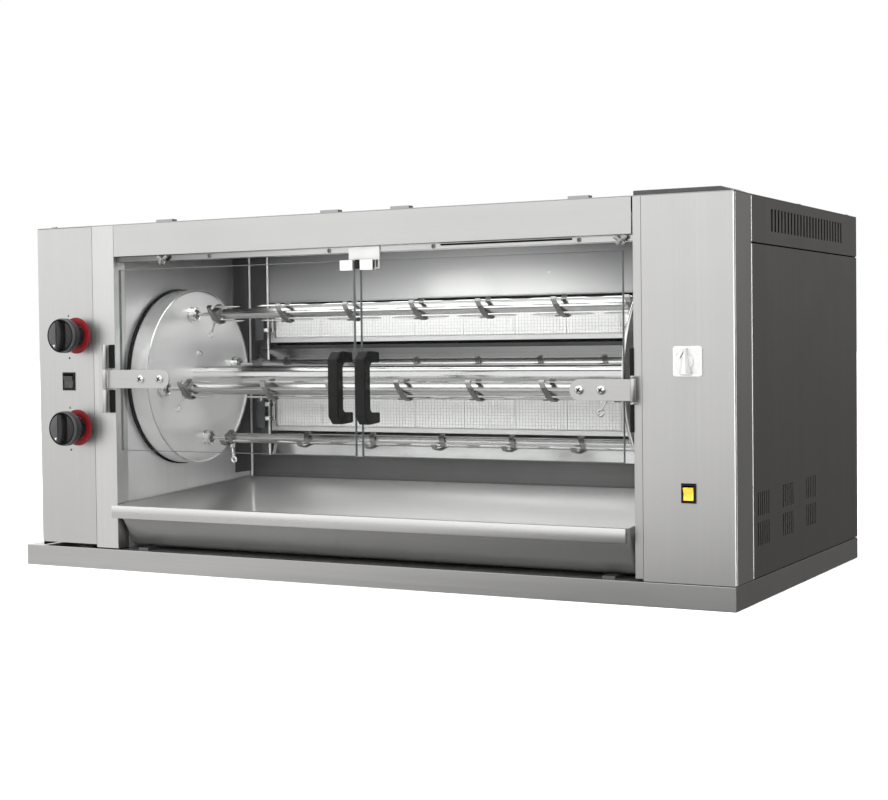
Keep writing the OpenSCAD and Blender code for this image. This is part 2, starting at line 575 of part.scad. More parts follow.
module upper_knob() color([0.06, 0.06, 0.06]) knob(knob_hi_z);
module lower_knob() color([0.06, 0.06, 0.06]) knob(knob_lo_z);
plate_r = 4;
module timer_plate() color([0.92, 0.92, 0.92]) difference() {
  h = timer_w/2;
  union() {
    bx([timer_x - h + plate_r, yf - 2, timer_z - h], [timer_x + h - plate_r, yf, timer_z + h]);
    bx([timer_x - h, yf - 2, timer_z - h + plate_r], [timer_x + h, yf, timer_z + h - plate_r]);
    for (x = [-1, 1], z = [-1, 1]) rod_y(timer_x + x*(h - plate_r), yf - 2, yf, timer_z + z*(h - plate_r), plate_r);
    rod_y(timer_x, yf - 1, yf + sheet + 1, timer_z, spindle_r + 1.2);
    rod_y(timer_x, yf + sheet + 0.4, yf + 40, timer_z, 18);
  }
  rod_y(timer_x, yf - 3, yf + 30, timer_z, spindle_r + fit);
}
module timer_knob() color([0.90, 0.90, 0.90]) {
  translate([timer_x, yf - 5.5, timer_z]) rotate([90, 0, 0]) linear_extrude(12)
    polygon([[-9, -19], [9, -19], [2.2, 19], [-2.2, 19]]);
  rod_y(timer_x, yf - 6, yf - 2.5, timer_z, 9);
  rod_y(timer_x, yf - 4, yf + 25, timer_z, spindle_r);
}
rock_y = 4;                            // depth of the rocker pins behind the face
rock_pin_r = 1.5;
// a square-edged bezel with a deep pocket for a rocker
module switch_frame(x, z, w, h, cw, chh) difference() {
  union() {
    bx([x - w/2, yf - 2, z - h/2], [x + w/2, yf, z + h/2]);
    bx([x - cw/2 - 1, yf - eps, z - chh/2 - 1], [x + cw/2 + 1, yf + 24, z + chh/2 + 1]);
  }
  bx([x - cw/2, yf - 3, z - chh/2], [x + cw/2, yf + 20, z + chh/2]);
  rod_x(x - cw/2 - 2, x + cw/2 + 2, yf + rock_y, z, rock_pin_r + fit);
}
module switch_frames() color([0.05, 0.05, 0.05]) {
  switch_frame(rocker_x, rocker_z, 26, 31, 19.6, 24.4);
  switch_frame(timer_x, amber_z, 21.5, 28, 15.2, 21.4);
}
rock = 7;
// rocker key on a cross pin, leaning to its rest side
module rocker(x, z, w, h) translate([x, yf + rock_y, z]) rotate([rock, 0, 0]) {
  rod_x(-w/2 - 1.2, w/2 + 1.2, 0, 0, rock_pin_r);
  rotate([90, 0, 90]) translate([0, 0, -w/2]) linear_extrude(w)
    polygon([[6, -h/2 + 3], [6, h/2 - 3], [-8.2, h/2 - 0.6], [-5.6, 0], [-8.2, -h/2 + 0.6]]);
}
module black_rocker() color([0.10, 0.10, 0.10]) rocker(rocker_x, rocker_z, 18.8, 22.4);
module amber_rocker() color([0.95, 0.50, 0.08]) rocker(timer_x, amber_z, 14.4, 19.6);

// ---------------------------------------------------------------- drip pan
pan_yf = yf - pan_out;
pan_y1 = ch_y1 - 6;
pan_toe = yf + 35;
module drip_pan() color([0.75, 0.75, 0.74]) {
  difference() {
    along_x(pan_x0, pan_x1, [[pan_yf + 3, pan_front_z - pan_lip_h], [pan_toe, pan_z0], [pan_y1, pan_z0],
      [pan_y1, pan_back_z], [pan_yf + 3, pan_front_z]]);
    along_x(pan_x0 + sheet, pan_x1 - sheet, [[pan_yf + 7, pan_front_z - pan_lip_h + 1], [pan_toe + 1, pan_z0 + sheet],
      [pan_y1 - sheet, pan_z0 + sheet], [pan_y1 - sheet, pan_back_z + 20], [pan_yf + 7, pan_front_z + 20]]);
  }
  bx([pan_x0, pan_yf, pan_front_z - pan_lip_h], [pan_x1, pan_yf + 8, pan_front_z]);
}

base_plinth();
left_front_panel();
left_side_panel();
left_post();
right_post();
right_front_panel();
right_upper_side();
right_side_panel();
top_fascia();
roof_panel();
right_cap();
back_panel();
left_liner();
right_liner();
rear_liner();
ceiling_liner();
side_shields();
air_strip();
strip_fasteners();
upper_reflector();
middle_reflector();
lower_reflector();
burner_bodies();
burner_plaques();
igniters();
gas_rail();
gas_valves();
gearmotor();
sun_hub();
right_bearing();
pan_runners();
hinge_brackets();
hinge_strips();
catch_bracket();
catch_magnet();
knob_bezels();
timer_plate();
switch_frames();
left_glass();
left_door_metal();
left_handle();
right_glass();
right_door_metal();
right_handle();
disc_left();
disc_right();
rotor_tube();
spit_1();
spit_2();
spit_3();
spit_4();
upper_spindle();
lower_spindle();
upper_knob();
lower_knob();
timer_knob();
black_rocker();
amber_rocker();
drip_pan();
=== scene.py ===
import json
import math

import bmesh
import bpy
from mathutils import Matrix, Vector


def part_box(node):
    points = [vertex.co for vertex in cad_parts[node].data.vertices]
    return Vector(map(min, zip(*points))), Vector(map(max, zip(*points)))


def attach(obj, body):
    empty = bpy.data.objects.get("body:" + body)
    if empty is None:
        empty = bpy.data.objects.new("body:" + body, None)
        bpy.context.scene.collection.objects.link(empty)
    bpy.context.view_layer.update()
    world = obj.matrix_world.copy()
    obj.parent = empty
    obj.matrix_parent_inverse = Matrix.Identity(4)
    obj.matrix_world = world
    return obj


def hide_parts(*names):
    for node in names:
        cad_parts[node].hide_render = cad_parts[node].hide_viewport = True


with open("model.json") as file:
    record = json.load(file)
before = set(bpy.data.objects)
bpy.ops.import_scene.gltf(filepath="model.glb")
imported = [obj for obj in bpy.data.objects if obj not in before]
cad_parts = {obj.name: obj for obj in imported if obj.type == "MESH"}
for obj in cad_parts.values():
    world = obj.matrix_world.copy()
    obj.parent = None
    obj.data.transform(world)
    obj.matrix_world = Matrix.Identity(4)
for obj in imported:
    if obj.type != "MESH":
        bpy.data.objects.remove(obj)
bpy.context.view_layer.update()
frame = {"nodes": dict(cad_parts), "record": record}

NODES = frame["nodes"]
scene = bpy.context.scene
scene.view_settings.view_transform = "Standard"
MM = 0.001


# ------------------------------------------------------------------ node helpers
def principled(name):
    """A new material with one Principled shader wired to its output."""
    m = bpy.data.materials.new(name)
    m.use_nodes = True
    nt = m.node_tree
    nt.nodes.clear()
    out = nt.nodes.new("ShaderNodeOutputMaterial")
    b = nt.nodes.new("ShaderNodeBsdfPrincipled")
    nt.links.new(b.outputs[0], out.inputs[0])
    return m, nt, b


def add(nt, kind, links=None, **props):
    """A node with its properties and its inputs set, by name or number."""
    n = nt.nodes.new(kind)
    for k, v in props.items():
        setattr(n, k, v)
    for k, v in (links or {}).items():
        s = n.inputs[k]
        if isinstance(v, bpy.types.NodeSocket):
            nt.links.new(v, s)
        else:
            s.default_value = v
    return n


def coords(nt, scale):
    tc = add(nt, "ShaderNodeTexCoord")
    return add(nt, "ShaderNodeMapping", {"Vector": tc.outputs["Object"], "Scale": scale}).outputs[0]


def noise(nt, scale, detail=3.0, rough=0.6, vec=(1, 1, 1)):
    return add(nt, "ShaderNodeTexNoise", {"Vector": coords(nt, vec), "Scale": scale,
               "Detail": detail, "Roughness": rough}).outputs["Fac"]


def remap(nt, v, a, b, lo=0.3, hi=0.7):
    return add(nt, "ShaderNodeMapRange", {"Value": v, "From Min": lo, "From Max": hi,
               "To Min": a, "To Max": b}).outputs[0]


def mixed(nt, fac, a, b):
    n = add(nt, "ShaderNodeMix", data_type="RGBA")
    for i, v in ((0, fac), (6, a), (7, b)):
        if isinstance(v, bpy.types.NodeSocket):
            nt.links.new(v, n.inputs[i])
        else:
            n.inputs[i].default_value = v
    return n.outputs[2]


def bump(nt, b, height, strength, distance):
    n = add(nt, "ShaderNodeBump", {"Height": height, "Strength": strength, "Distance": distance})
    nt.links.new(n.outputs[0], b.inputs["Normal"])


def rgb(c, k=1.0):
    return (min(1, c[0] * k), min(1, c[1] * k), min(1, c[2] * k), 1.0)


STREAK = {"X": (1.2, 300, 300), "Y": (300, 1.2, 300), "Z": (300, 300, 1.2)}
BAND = {"X": (0.5, 26, 26), "Y": (26, 0.5, 26), "Z": (26, 26, 0.5)}


def steel(name, colour, rough=0.3, along="Z", spread=0.05, cloud=0.06, lift=0.012, metal=1.0, grain=0.055):
    """Brushed sheet: fine streaks along one axis, slow clouds of wear and handling marks."""
    m, nt, b = principled(name)
    fine = noise(nt, 1.0, 4.0, 0.7, STREAK[along])
    band = noise(nt, 1.0, 2.0, 0.5, BAND[along])
    wear = noise(nt, 5.0, 4.0, 0.6)
    streak = add(nt, "ShaderNodeMath", {0: remap(nt, fine, 0, 0.65), 1: remap(nt, band, 0, 0.35)},
                 operation="ADD").outputs[0]
    c1 = mixed(nt, streak, rgb(colour, 1 - spread), rgb(colour, 1 + spread))
    c2 = mixed(nt, remap(nt, wear, 0, cloud), c1, rgb(colour, 0.6))
    nt.links.new(c2, b.inputs["Base Color"])
    r = add(nt, "ShaderNodeMath", {0: remap(nt, fine, rough - grain, rough + grain),
            1: remap(nt, wear, 0, 0.07)}, operation="ADD").outputs[0]
    nt.links.new(r, b.inputs["Roughness"])
    b.inputs["Metallic"].default_value = metal
    bump(nt, b, fine, 0.12, lift * MM)
    return m


def plastic(name, colour, rough=0.4, grain=900.0, strength=0.15, coat=0.0, tone=0.12, spec=0.4):
    """Moulded plastic with a fine texture and slight unevenness."""
    m, nt, b = principled(name)
    g = noise(nt, grain, 2.0, 0.5)
    u = noise(nt, 30.0, 3.0, 0.6)
    nt.links.new(mixed(nt, remap(nt, u, 0, 1), rgb(colour, 1 - tone), rgb(colour, 1 + tone)),
                 b.inputs["Base Color"])
    nt.links.new(remap(nt, u, rough - 0.05, rough + 0.07), b.inputs["Roughness"])
    b.inputs["Coat Weight"].default_value = coat
    b.inputs["Specular IOR Level"].default_value = spec
    bump(nt, b, g, strength, 0.05 * MM)
    return m


def ceramic(name):
    """Pale burner plaque with rows of fine ports and faint scorching."""
    m, nt, b = principled(name)
    vor = add(nt, "ShaderNodeTexVoronoi", {"Vector": coords(nt, (1, 1, 1)), "Scale": 420.0})
    port = remap(nt, vor.outputs["Distance"], 0, 1, 0.18, 0.30)
    scorch = remap(nt, noise(nt, 12.0, 4.0, 0.6), 0, 0.35)
    c = mixed(nt, scorch, (0.84, 0.84, 0.833, 1), (0.74, 0.73, 0.715, 1))
    nt.links.new(mixed(nt, port, (0.56, 0.56, 0.545, 1), c), b.inputs["Base Color"])
    nt.links.new(remap(nt, noise(nt, 60.0), 0.75, 0.9), b.inputs["Roughness"])
    bump(nt, b, port, 0.5, 0.3 * MM)
    return m


def pane(name):
    """Clear door glass: see-through, with a mirror film that grows at low angles, and faint wipe marks."""
    m = bpy.data.materials.new(name)
    m.use_nodes = True
    nt = m.node_tree
    nt.nodes.clear()
    out = add(nt, "ShaderNodeOutputMaterial")
    smear = noise(nt, 1.0, 4.0, 0.6, (6, 6, 40))
    clear = add(nt, "ShaderNodeBsdfTransparent", {"Color": (0.988, 0.992, 0.990, 1)})
    gloss = add(nt, "ShaderNodeBsdfPrincipled", {"Base Color": (0.02, 0.02, 0.02, 1),
                "Roughness": remap(nt, smear, 0.01, 0.05), "IOR": 1.5})
    gloss.inputs["Specular IOR Level"].default_value = 1.0
    fres = add(nt, "ShaderNodeFresnel", {"IOR": 1.45}).outputs[0]
    thin = add(nt, "ShaderNodeMath", {0: fres, 1: 0.055}, operation="MINIMUM").outputs[0]
    film = add(nt, "ShaderNodeMath", {0: thin, 1: remap(nt, smear, 0.0, 0.008)}, operation="ADD").outputs[0]
    mix = add(nt, "ShaderNodeMixShader", {0: film, 1: clear.outputs[0], 2: gloss.outputs[0]})
    nt.links.new(mix.outputs[0], out.inputs[0])
    return m


def brass(name, colour):
    m, nt, b = principled(name)
    u = noise(nt, 25.0, 4.0, 0.65)
    nt.links.new(mixed(nt, remap(nt, u, 0, 1), rgb(colour, 0.75), rgb(colour, 1.1)), b.inputs["Base Color"])
    nt.links.new(remap(nt, u, 0.28, 0.45), b.inputs["Roughness"])
    b.inputs["Metallic"].default_value = 1.0
    bump(nt, b, noise(nt, 300.0), 0.1, 0.05 * MM)
    return m


def amber(name):
    """Lit amber lens: its colour and glow vary a little across it."""
    m, nt, b = principled(name)
    u = noise(nt, 120.0, 3.0, 0.6)
    c = mixed(nt, remap(nt, u, 0, 1), (0.86, 0.28, 0.015, 1), (0.98, 0.42, 0.04, 1))
    nt.links.new(c, b.inputs["Base Color"])
    nt.links.new(remap(nt, u, 0.22, 0.34), b.inputs["Roughness"])
    nt.links.new(c, b.inputs["Emission Color"])
    b.inputs["Emission Strength"].default_value = 0.35
    bump(nt, b, u, 0.15, 0.1 * MM)
    return m


LIGHT = (0.63, 0.63, 0.625)
# DARK is the front steel darkened: painted shade for the side panels
DARK = (0.33, 0.325, 0.315)
M = {
    "front": steel("steel_front", LIGHT, 0.34, "Z"),
    "front_left": steel("steel_front_left", (0.64, 0.64, 0.635), 0.34, "Z"),
    "fascia": steel("steel_fascia", (0.62, 0.62, 0.612), 0.32, "X"),
    "post": steel("steel_post", (0.62, 0.62, 0.615), 0.32, "Z"),
    # the side panels take a darker copy of the front steel: painted shade for the sides turned from the light
    "side": steel("steel_side_shaded", DARK, 0.38, "Z", cloud=0.10),
    "base": steel("steel_base", (0.56, 0.56, 0.555), 0.34, "X"),
    "roof": steel("steel_roof", (0.45, 0.45, 0.445), 0.40, "X"),
    "back": steel("steel_back", (0.48, 0.48, 0.475), 0.42, "X"),
    "liner": steel("steel_liner", (0.78, 0.78, 0.78), 0.34, "Z", metal=0.7),
    "rear": steel("steel_rear", (0.16, 0.16, 0.16), 0.42, "X", spread=0.15, cloud=0.4, metal=0.8),
    "shield": steel("steel_shield", (0.14, 0.14, 0.14), 0.36, "Z", spread=0.15, cloud=0.3, metal=0.8),
    "mirror": steel("steel_mirror", (0.88, 0.88, 0.88), 0.14, "X", spread=0.03, cloud=0.03, lift=0.001),
    "tube": steel("steel_tube", (0.72, 0.72, 0.72), 0.13, "X", spread=0.05, cloud=0.06, lift=0.001),
    "disc": steel("steel_disc", (0.84, 0.84, 0.84), 0.27, "Z", spread=0.02, cloud=0.12, lift=0.0,
                  metal=0.8, grain=0.01),
    "spit": steel("steel_spit", (0.68, 0.68, 0.675), 0.22, "X", cloud=0.12, lift=0.001),
    "machined": steel("steel_machined", (0.60, 0.60, 0.59), 0.26, "Y", cloud=0.08),
    "pan": steel("steel_pan", (0.72, 0.72, 0.715), 0.26, "X", cloud=0.05),
    "hinge": steel("steel_hinge", (0.62, 0.62, 0.615), 0.34, "X"),
    "black": plastic("plastic_black", (0.006, 0.006, 0.006), 0.20, spec=0.2),
    "knob": plastic("plastic_knob", (0.011, 0.011, 0.012), 0.36, spec=0.35),
    "rocker": plastic("plastic_rocker", (0.03, 0.03, 0.03), 0.22, coat=0.3),
    "rubber": plastic("rubber_black", (0.005, 0.005, 0.005), 0.6, spec=0.15),
    "white": plastic("plastic_white", (0.44, 0.44, 0.432), 0.36, tone=0.03),
    "red": plastic("plastic_red", (0.13, 0.004, 0.007), 0.45, tone=0.3, spec=0.2),
    "ink": plastic("ink_dark", (0.03, 0.03, 0.03), 0.6),
    "cap": plastic("painted_cap", (0.035, 0.036, 0.038), 0.42),
    "paint": plastic("painted_dark", (0.06, 0.062, 0.065), 0.45),
    "glass": pane("glass_door"),
    "edge": plastic("glass_edge", (0.09, 0.10, 0.10), 0.45, spec=0.25),
    "strip": steel("steel_strip", (0.60, 0.60, 0.595), 0.26, "X", cloud=0.10),
    "leaf": steel("steel_leaf", (0.66, 0.66, 0.655), 0.34, "Z"),
    "post_left": steel("steel_post_left", (0.72, 0.72, 0.715), 0.34, "Z"),
    # light, mostly matt steel for the fold strips: painted highlight
    "fold": steel("steel_fold_highlight", (0.80, 0.80, 0.79), 0.28, "Z", spread=0.03, cloud=0.05, lift=0.001,
                  metal=0.35),
    "knob_face": plastic("plastic_knob_face", (0.045, 0.046, 0.048), 0.38),
    "void": plastic("black_gap", (0.006, 0.006, 0.006), 0.8, spec=0.1),
    "mark_grey": plastic("print_grey", (0.50, 0.49, 0.47), 0.5),
    "porcelain": plastic("porcelain_white", (0.85, 0.84, 0.80), 0.25, coat=0.5, tone=0.04),
    "bright": steel("steel_bright", (0.86, 0.86, 0.855), 0.14, "X", spread=0.03, cloud=0.05, lift=0.001),
    "mirror_trim": steel("steel_trim", (0.92, 0.92, 0.915), 0.25, "Z", spread=0.03, cloud=0.03,
                         lift=0.001, metal=0.3),
    "clip": steel("steel_clip", (0.32, 0.32, 0.315), 0.28, "Z", cloud=0.15, lift=0.002),
    "mirror_up": steel("steel_mirror_up", (0.92, 0.92, 0.92), 0.20, "X", spread=0.01, cloud=0.03,
                       lift=0.0, metal=0.6, grain=0.01),
    "mirror_mid": steel("steel_mirror_mid", (0.60, 0.60, 0.60), 0.16, "X", spread=0.04, cloud=0.05,
                        lift=0.001),
    "mirror_low": steel("steel_mirror_low", (0.78, 0.78, 0.78), 0.16, "X", spread=0.03, cloud=0.03,
                        lift=0.001),
    "nut": steel("steel_nut", (0.36, 0.36, 0.355), 0.24, "X", cloud=0.10, lift=0.002),
    "wire": steel("steel_wire", (0.62, 0.62, 0.61), 0.30, "X", spread=0.03, cloud=0.08, lift=0.001,
                  metal=0.3),
    "pan_in": steel("steel_pan_in", (0.62, 0.62, 0.615), 0.33, "X", spread=0.02, cloud=0.05, lift=0.0,
                    metal=0.8, grain=0.01),
    # the pan's outer skin is a darker copy of its inner steel: painted shade and dark reflection under the
    # lip
    "pan_skin_shaded": steel("steel_pan_skin_shaded", (0.25, 0.25, 0.247), 0.34, "X", cloud=0.10, metal=0.75),
    "ceramic": ceramic("ceramic_plaque"),
    "brass": brass("brass_dull", (0.62, 0.45, 0.18)),
    "amber": amber("amber_lens"),
}

disc_tree = M["disc"].node_tree
disc_shader = next(n for n in disc_tree.nodes if n.type == "BSDF_PRINCIPLED")
disc_shader.inputs["Anisotropic"].default_value = 0.75
disc_tree.links.new(add(disc_tree, "ShaderNodeTangent", direction_type="RADIAL", axis="X").outputs[0],
                    disc_shader.inputs["Tangent"])

CAD_LOOK = {
    "base_plinth": "base", "left_front_panel": "front_left", "left_side_panel": "side",
    "left_post": "post_left", "right_post": "post", "right_front_panel": "front",
    "right_upper_side": "side", "right_side_panel": "side", "top_fascia": "fascia",
    "roof_panel": "roof", "right_cap": "cap", "back_panel": "back", "left_liner": "liner",
    "right_liner": "liner", "rear_liner": "rear", "ceiling_liner": "rear", "side_shields": "shield",
    "air_strip": "strip", "strip_fasteners": "machined", "upper_reflector": "mirror",
    "middle_reflector": "mirror_mid", "lower_reflector": "mirror_low", "burner_bodies": "liner",
    "burner_plaques": "ceramic", "igniters": "paint", "gas_rail": "brass", "gas_valves": "brass",
    "gearmotor": "paint", "sun_hub": "machined", "right_bearing": "machined", "pan_runners": "rear",
    "hinge_brackets": "leaf", "hinge_strips": "rubber", "catch_bracket": "white",
    "catch_magnet": "black", "knob_bezels": "red", "timer_plate": "white", "switch_frames": "black",
    "left_glass": "glass", "left_door_metal": "hinge", "left_handle": "black",
    "right_glass": "glass", "right_door_metal": "hinge", "right_handle": "black",
    "disc_left": "disc", "disc_right": "disc", "rotor_tube": "tube", "spit_1": "spit",
    "spit_2": "spit", "spit_3": "spit", "spit_4": "spit", "upper_spindle": "machined",
    "lower_spindle": "machined", "upper_knob": "knob", "lower_knob": "knob", "timer_knob": "white",
    "black_rocker": "rocker", "amber_rocker": "amber", "drip_pan": "pan",
}


def shaded_towards(look, axis, darkest_at, unshaded_at, colour):
    """Painted shade: darkens a sheet's colour towards one end, given in metres along an axis, in place of the
    shadow and dark reflection that fall there.
    """
    nt = M[look].node_tree
    shader = next(n for n in nt.nodes if n.type == "BSDF_PRINCIPLED")
    unshaded = shader.inputs["Base Color"].links[0].from_socket
    here = add(nt, "ShaderNodeTexCoord").outputs["Object"]
    place = add(nt, "ShaderNodeSeparateXYZ", {0: here}).outputs[axis]
    nt.links.new(mixed(nt, remap(nt, place, 0, 1, darkest_at, unshaded_at), (*colour, 1), unshaded),
                 shader.inputs["Base Color"])


# painted reflection: the polished strip darker towards its left end, as if it mirrored dark surroundings
shaded_towards("strip", 0, -0.40, -0.05, (0.17, 0.17, 0.17))
# painted shadow: the upper reflector darker towards its top, under the fascia
shaded_towards("mirror_up", 2, 0.562, 0.470, (0.28, 0.28, 0.276))
# painted shadow: the liner steel (walls and burner bodies) darker towards the top, under the fascia
shaded_towards("liner", 2, 0.535, 0.440, (0.30, 0.30, 0.297))

for node_name, look in CAD_LOOK.items():
    for slot in NODES[node_name].material_slots:
        slot.material = M[look]

WELD_M, FLAT_DEG, EDGE_DEG = 0.00001, 0.5, 35
# folded and moulded nodes get a small rounded edge; the value is its width in mm
EDGE = {"base_plinth": 1.0, "left_front_panel": 0.5, "left_side_panel": 0.4, "left_post": 0.5,
        "right_post": 0.5, "right_front_panel": 0.6, "right_upper_side": 0.3, "right_side_panel": 0.4,
        "top_fascia": 0.5, "roof_panel": 0.3, "right_cap": 0.8, "air_strip": 0.4,
        "left_handle": 2.0, "right_handle": 2.0, "hinge_brackets": 0.3, "left_door_metal": 0.4,
        "right_door_metal": 0.4, "catch_bracket": 0.5, "catch_magnet": 0.4,
        "switch_frames": 0.9, "black_rocker": 0.5, "amber_rocker": 0.6}
for node_name, width in EDGE.items():
    o = NODES[node_name]
    w = o.modifiers.new("weld", "WELD")
    w.merge_threshold = WELD_M
    dec = o.modifiers.new("flat", "DECIMATE")
    dec.decimate_type = "DISSOLVE"
    dec.angle_limit = math.radians(FLAT_DEG)
    bv = o.modifiers.new("edge", "BEVEL")
    bv.width = width * MM
    bv.segments = 3 if width > 1.5 else 2
    bv.limit_method = "ANGLE"
    bv.angle_limit = math.radians(EDGE_DEG)
    bv.harden_normals = True


# ------------------------------------------------------------------ mesh helpers, all in millimetres
def corners(node):
    lo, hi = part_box(node)
    return [v / MM for v in lo], [v / MM for v in hi]


def middle(node):
    lo, hi = corners(node)
    return [(a + b) / 2 for a, b in zip(lo, hi)]


def fresh():
    """An empty mesh that remembers which faces already have their material."""
    bm = bmesh.new()
    bm.faces.layers.int.new("done")
    return bm


def unpainted(bm):
    done = bm.faces.layers.int["done"]
    return [f for f in bm.faces if not f[done]]


def paint(bm, mat):
    """Gives the faces made since the last call a material number."""
    done = bm.faces.layers.int["done"]
    for f in unpainted(bm):
        f.material_index = mat
        f[done] = 1


def block(bm, lo, hi, r=0.5, mat=0, turn=None):
    """A sheet or block with rounded edges, from its low corner to its high corner."""
    c = Vector([(a + b) / 2 for a, b in zip(lo, hi)])
    size = Matrix.Diagonal([b - a for a, b in zip(lo, hi)] + [1])
    made = bmesh.ops.create_cube(bm, size=1.0, matrix=Matrix.Translation(c) @ size)
    edges = {e for v in made["verts"] for e in v.link_edges}
    if r:
        bmesh.ops.bevel(bm, geom=list(edges), offset=r, segments=2, profile=0.5, affect="EDGES")
    if turn:
        bmesh.ops.transform(bm, matrix=turn, verts=list({v for f in unpainted(bm) for v in f.verts}))
    paint(bm, mat)


def lathe(bm, profile, origin, axis, seg=48, mats=None, span=None):
    """Turns (radius, distance) points about an axis; span limits the turn to (from, to) degrees."""
    w = Vector(axis).normalized()
    u = Vector((0, 0, 1)) if abs(w.z) < 0.9 else Vector((1, 0, 0))
    v = w.cross(u)
    a0, a1 = span or (0, 360)
    steps = seg + (1 if span else 0)
    rings = []
    for r, h in profile:
        if r < 1e-6:
            rings.append([bm.verts.new(Vector(origin) + w * h)] * steps)
        else:
            rings.append([bm.verts.new(Vector(origin) + w * h + (u * math.cos(t) + v * math.sin(t)) * r)
                          for t in (math.radians(a0 + (a1 - a0) * i / seg) for i in range(steps))])
    for k in range(len(rings) - 1):
        for i in range(seg):
            j = (i + 1) % steps
            quad = []
            for p in (rings[k][i], rings[k][j], rings[k + 1][j], rings[k + 1][i]):
                if p not in quad:
                    quad.append(p)
            if len(quad) > 2:
                bm.faces.new(quad)
        paint(bm, mats[k] if mats else 0)


def ring(bm, origin, axis, big, small, seg=48, mat=0, flat=1.0):
    """A rounded ring, or flattened along its axis where flat is below 1."""
    prof = [(big + small * math.cos(t), small * flat * math.sin(t))
            for t in (math.radians(45 * i) for i in range(9))]
    lathe(bm, prof, origin, axis, seg, [mat] * 8)


def slab(bm, outline, y0, y1, r=0.4, mat=0):
    """A plate seen from the front: outline in (X, Z), drawn from y0 to y1, front edge rounded."""
    lower = [bm.verts.new((x, y1, z)) for x, z in outline]
    base = bm.faces.new(lower)
    out = bmesh.ops.extrude_face_region(bm, geom=[base])
    top = [v for v in out["geom"] if isinstance(v, bmesh.types.BMVert)]
    bmesh.ops.translate(bm, vec=(0, y0 - y1, 0), verts=top)
    if r:
        rim = [e for e in {e for v in top for e in v.link_edges} if e.verts[0] in top and e.verts[1] in top]
        bmesh.ops.bevel(bm, geom=rim, offset=r, segments=2, profile=0.5, affect="EDGES")
    paint(bm, mat)


def sweep(bm, path, wide, thick, mat=0):
    """A flat strip along a path in (X, Y, Z), wide along X and thick across it."""
    rows = []
    pts = [Vector(p) for p in path]
    for i, p in enumerate(pts):
        t = (pts[min(i + 1, len(pts) - 1)] - pts[max(i - 1, 0)]).normalized()
        n = t.cross(Vector((1, 0, 0))).normalized()
        rows.append([bm.verts.new(p + Vector((sx * wide / 2, 0, 0)) + n * (sn * thick / 2))
                     for sx, sn in ((-1, -1), (1, -1), (1, 1), (-1, 1))])
    for a, b in zip(rows, rows[1:]):
        for k in range(4):
            bm.faces.new((a[k], a[(k + 1) % 4], b[(k + 1) % 4], b[k]))
    bm.faces.new(rows[0][::-1])
    bm.faces.new(rows[-1])
    paint(bm, mat)


def piece(name, bm, looks, body, stands_for=(), sharp=32):
    """Turns the mesh into a finished piece that rides on a CAD body."""
    bmesh.ops.scale(bm, vec=(MM, MM, MM), verts=bm.verts)
    bmesh.ops.recalc_face_normals(bm, faces=bm.faces)
    for f in bm.faces:
        f.smooth = True
    for e in bm.edges:
        if len(e.link_faces) == 2:
            e.smooth = e.calc_face_angle(0.0) < math.radians(sharp)
    me = bpy.data.meshes.new(name)
    bm.to_mesh(me)
    bm.free()
    for look in looks:
        me.materials.append(M[look])
    o = bpy.data.objects.new(name, me)
    scene.collection.objects.link(o)
    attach(o, body)
    if stands_for:
        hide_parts(*stands_for)
    return o


FRONT, AXIS_X, AXIS_Z = (0, -1, 0), (1, 0, 0), (0, 0, 1)


def move(x, y, z):
    return Matrix.Translation((x, y, z))


def spin(degrees, axis):
    return Matrix.Rotation(math.radians(degrees), 4, axis)


def arc(cx, cz, rx, rz, a0, a1, step):
    """Points (X, Z) on an ellipse about (cx, cz), from a0 to a1 degrees."""
    angles = range(a0, a1 + (1 if step > 0 else -1), step)
    return [(cx + rx * math.cos(math.radians(a)), cz + rz * math.sin(math.radians(a))) for a in angles]


def screw(bm, x, y, z, r, mat=0, dark=1):
    """Domed screw head facing the front, with a dark cross standing for its recess: painted shade."""
    dome = [(r, 0), (r, 0.25 * r), (0.85 * r, 0.42 * r), (0.55 * r, 0.55 * r), (0, 0.6 * r)]
    lathe(bm, dome, (x, y, z), FRONT, 24, [mat] * 4)
    # dark cross: painted shade in the recess
    for a in (35, 125):
        turn = move(x, y - 0.56 * r, z) @ spin(a, "Y")
        block(bm, (-0.58 * r, -0.1 * r, -0.13 * r), (0.58 * r, 0.3, 0.13 * r), 0, dark, turn)


# ------------------------------------------------------------------ gas knobs, their rings and marks
GRIP_H = 7.0                # the knob's grip bar stands this far in front of its face
DISH = 4.2                  # depth of the dished face
RING_H = 2.0                # height of the coloured ring off the panel


def segment(r, edge, side):
    """Outline of the part of a circle beyond the line x = edge, on one side."""
    t = math.acos(edge / r * side)
    angles = (-t + 2 * t * i / 20 for i in range(21))
    return [(side * r * math.cos(a), r * math.sin(a)) for a in angles]


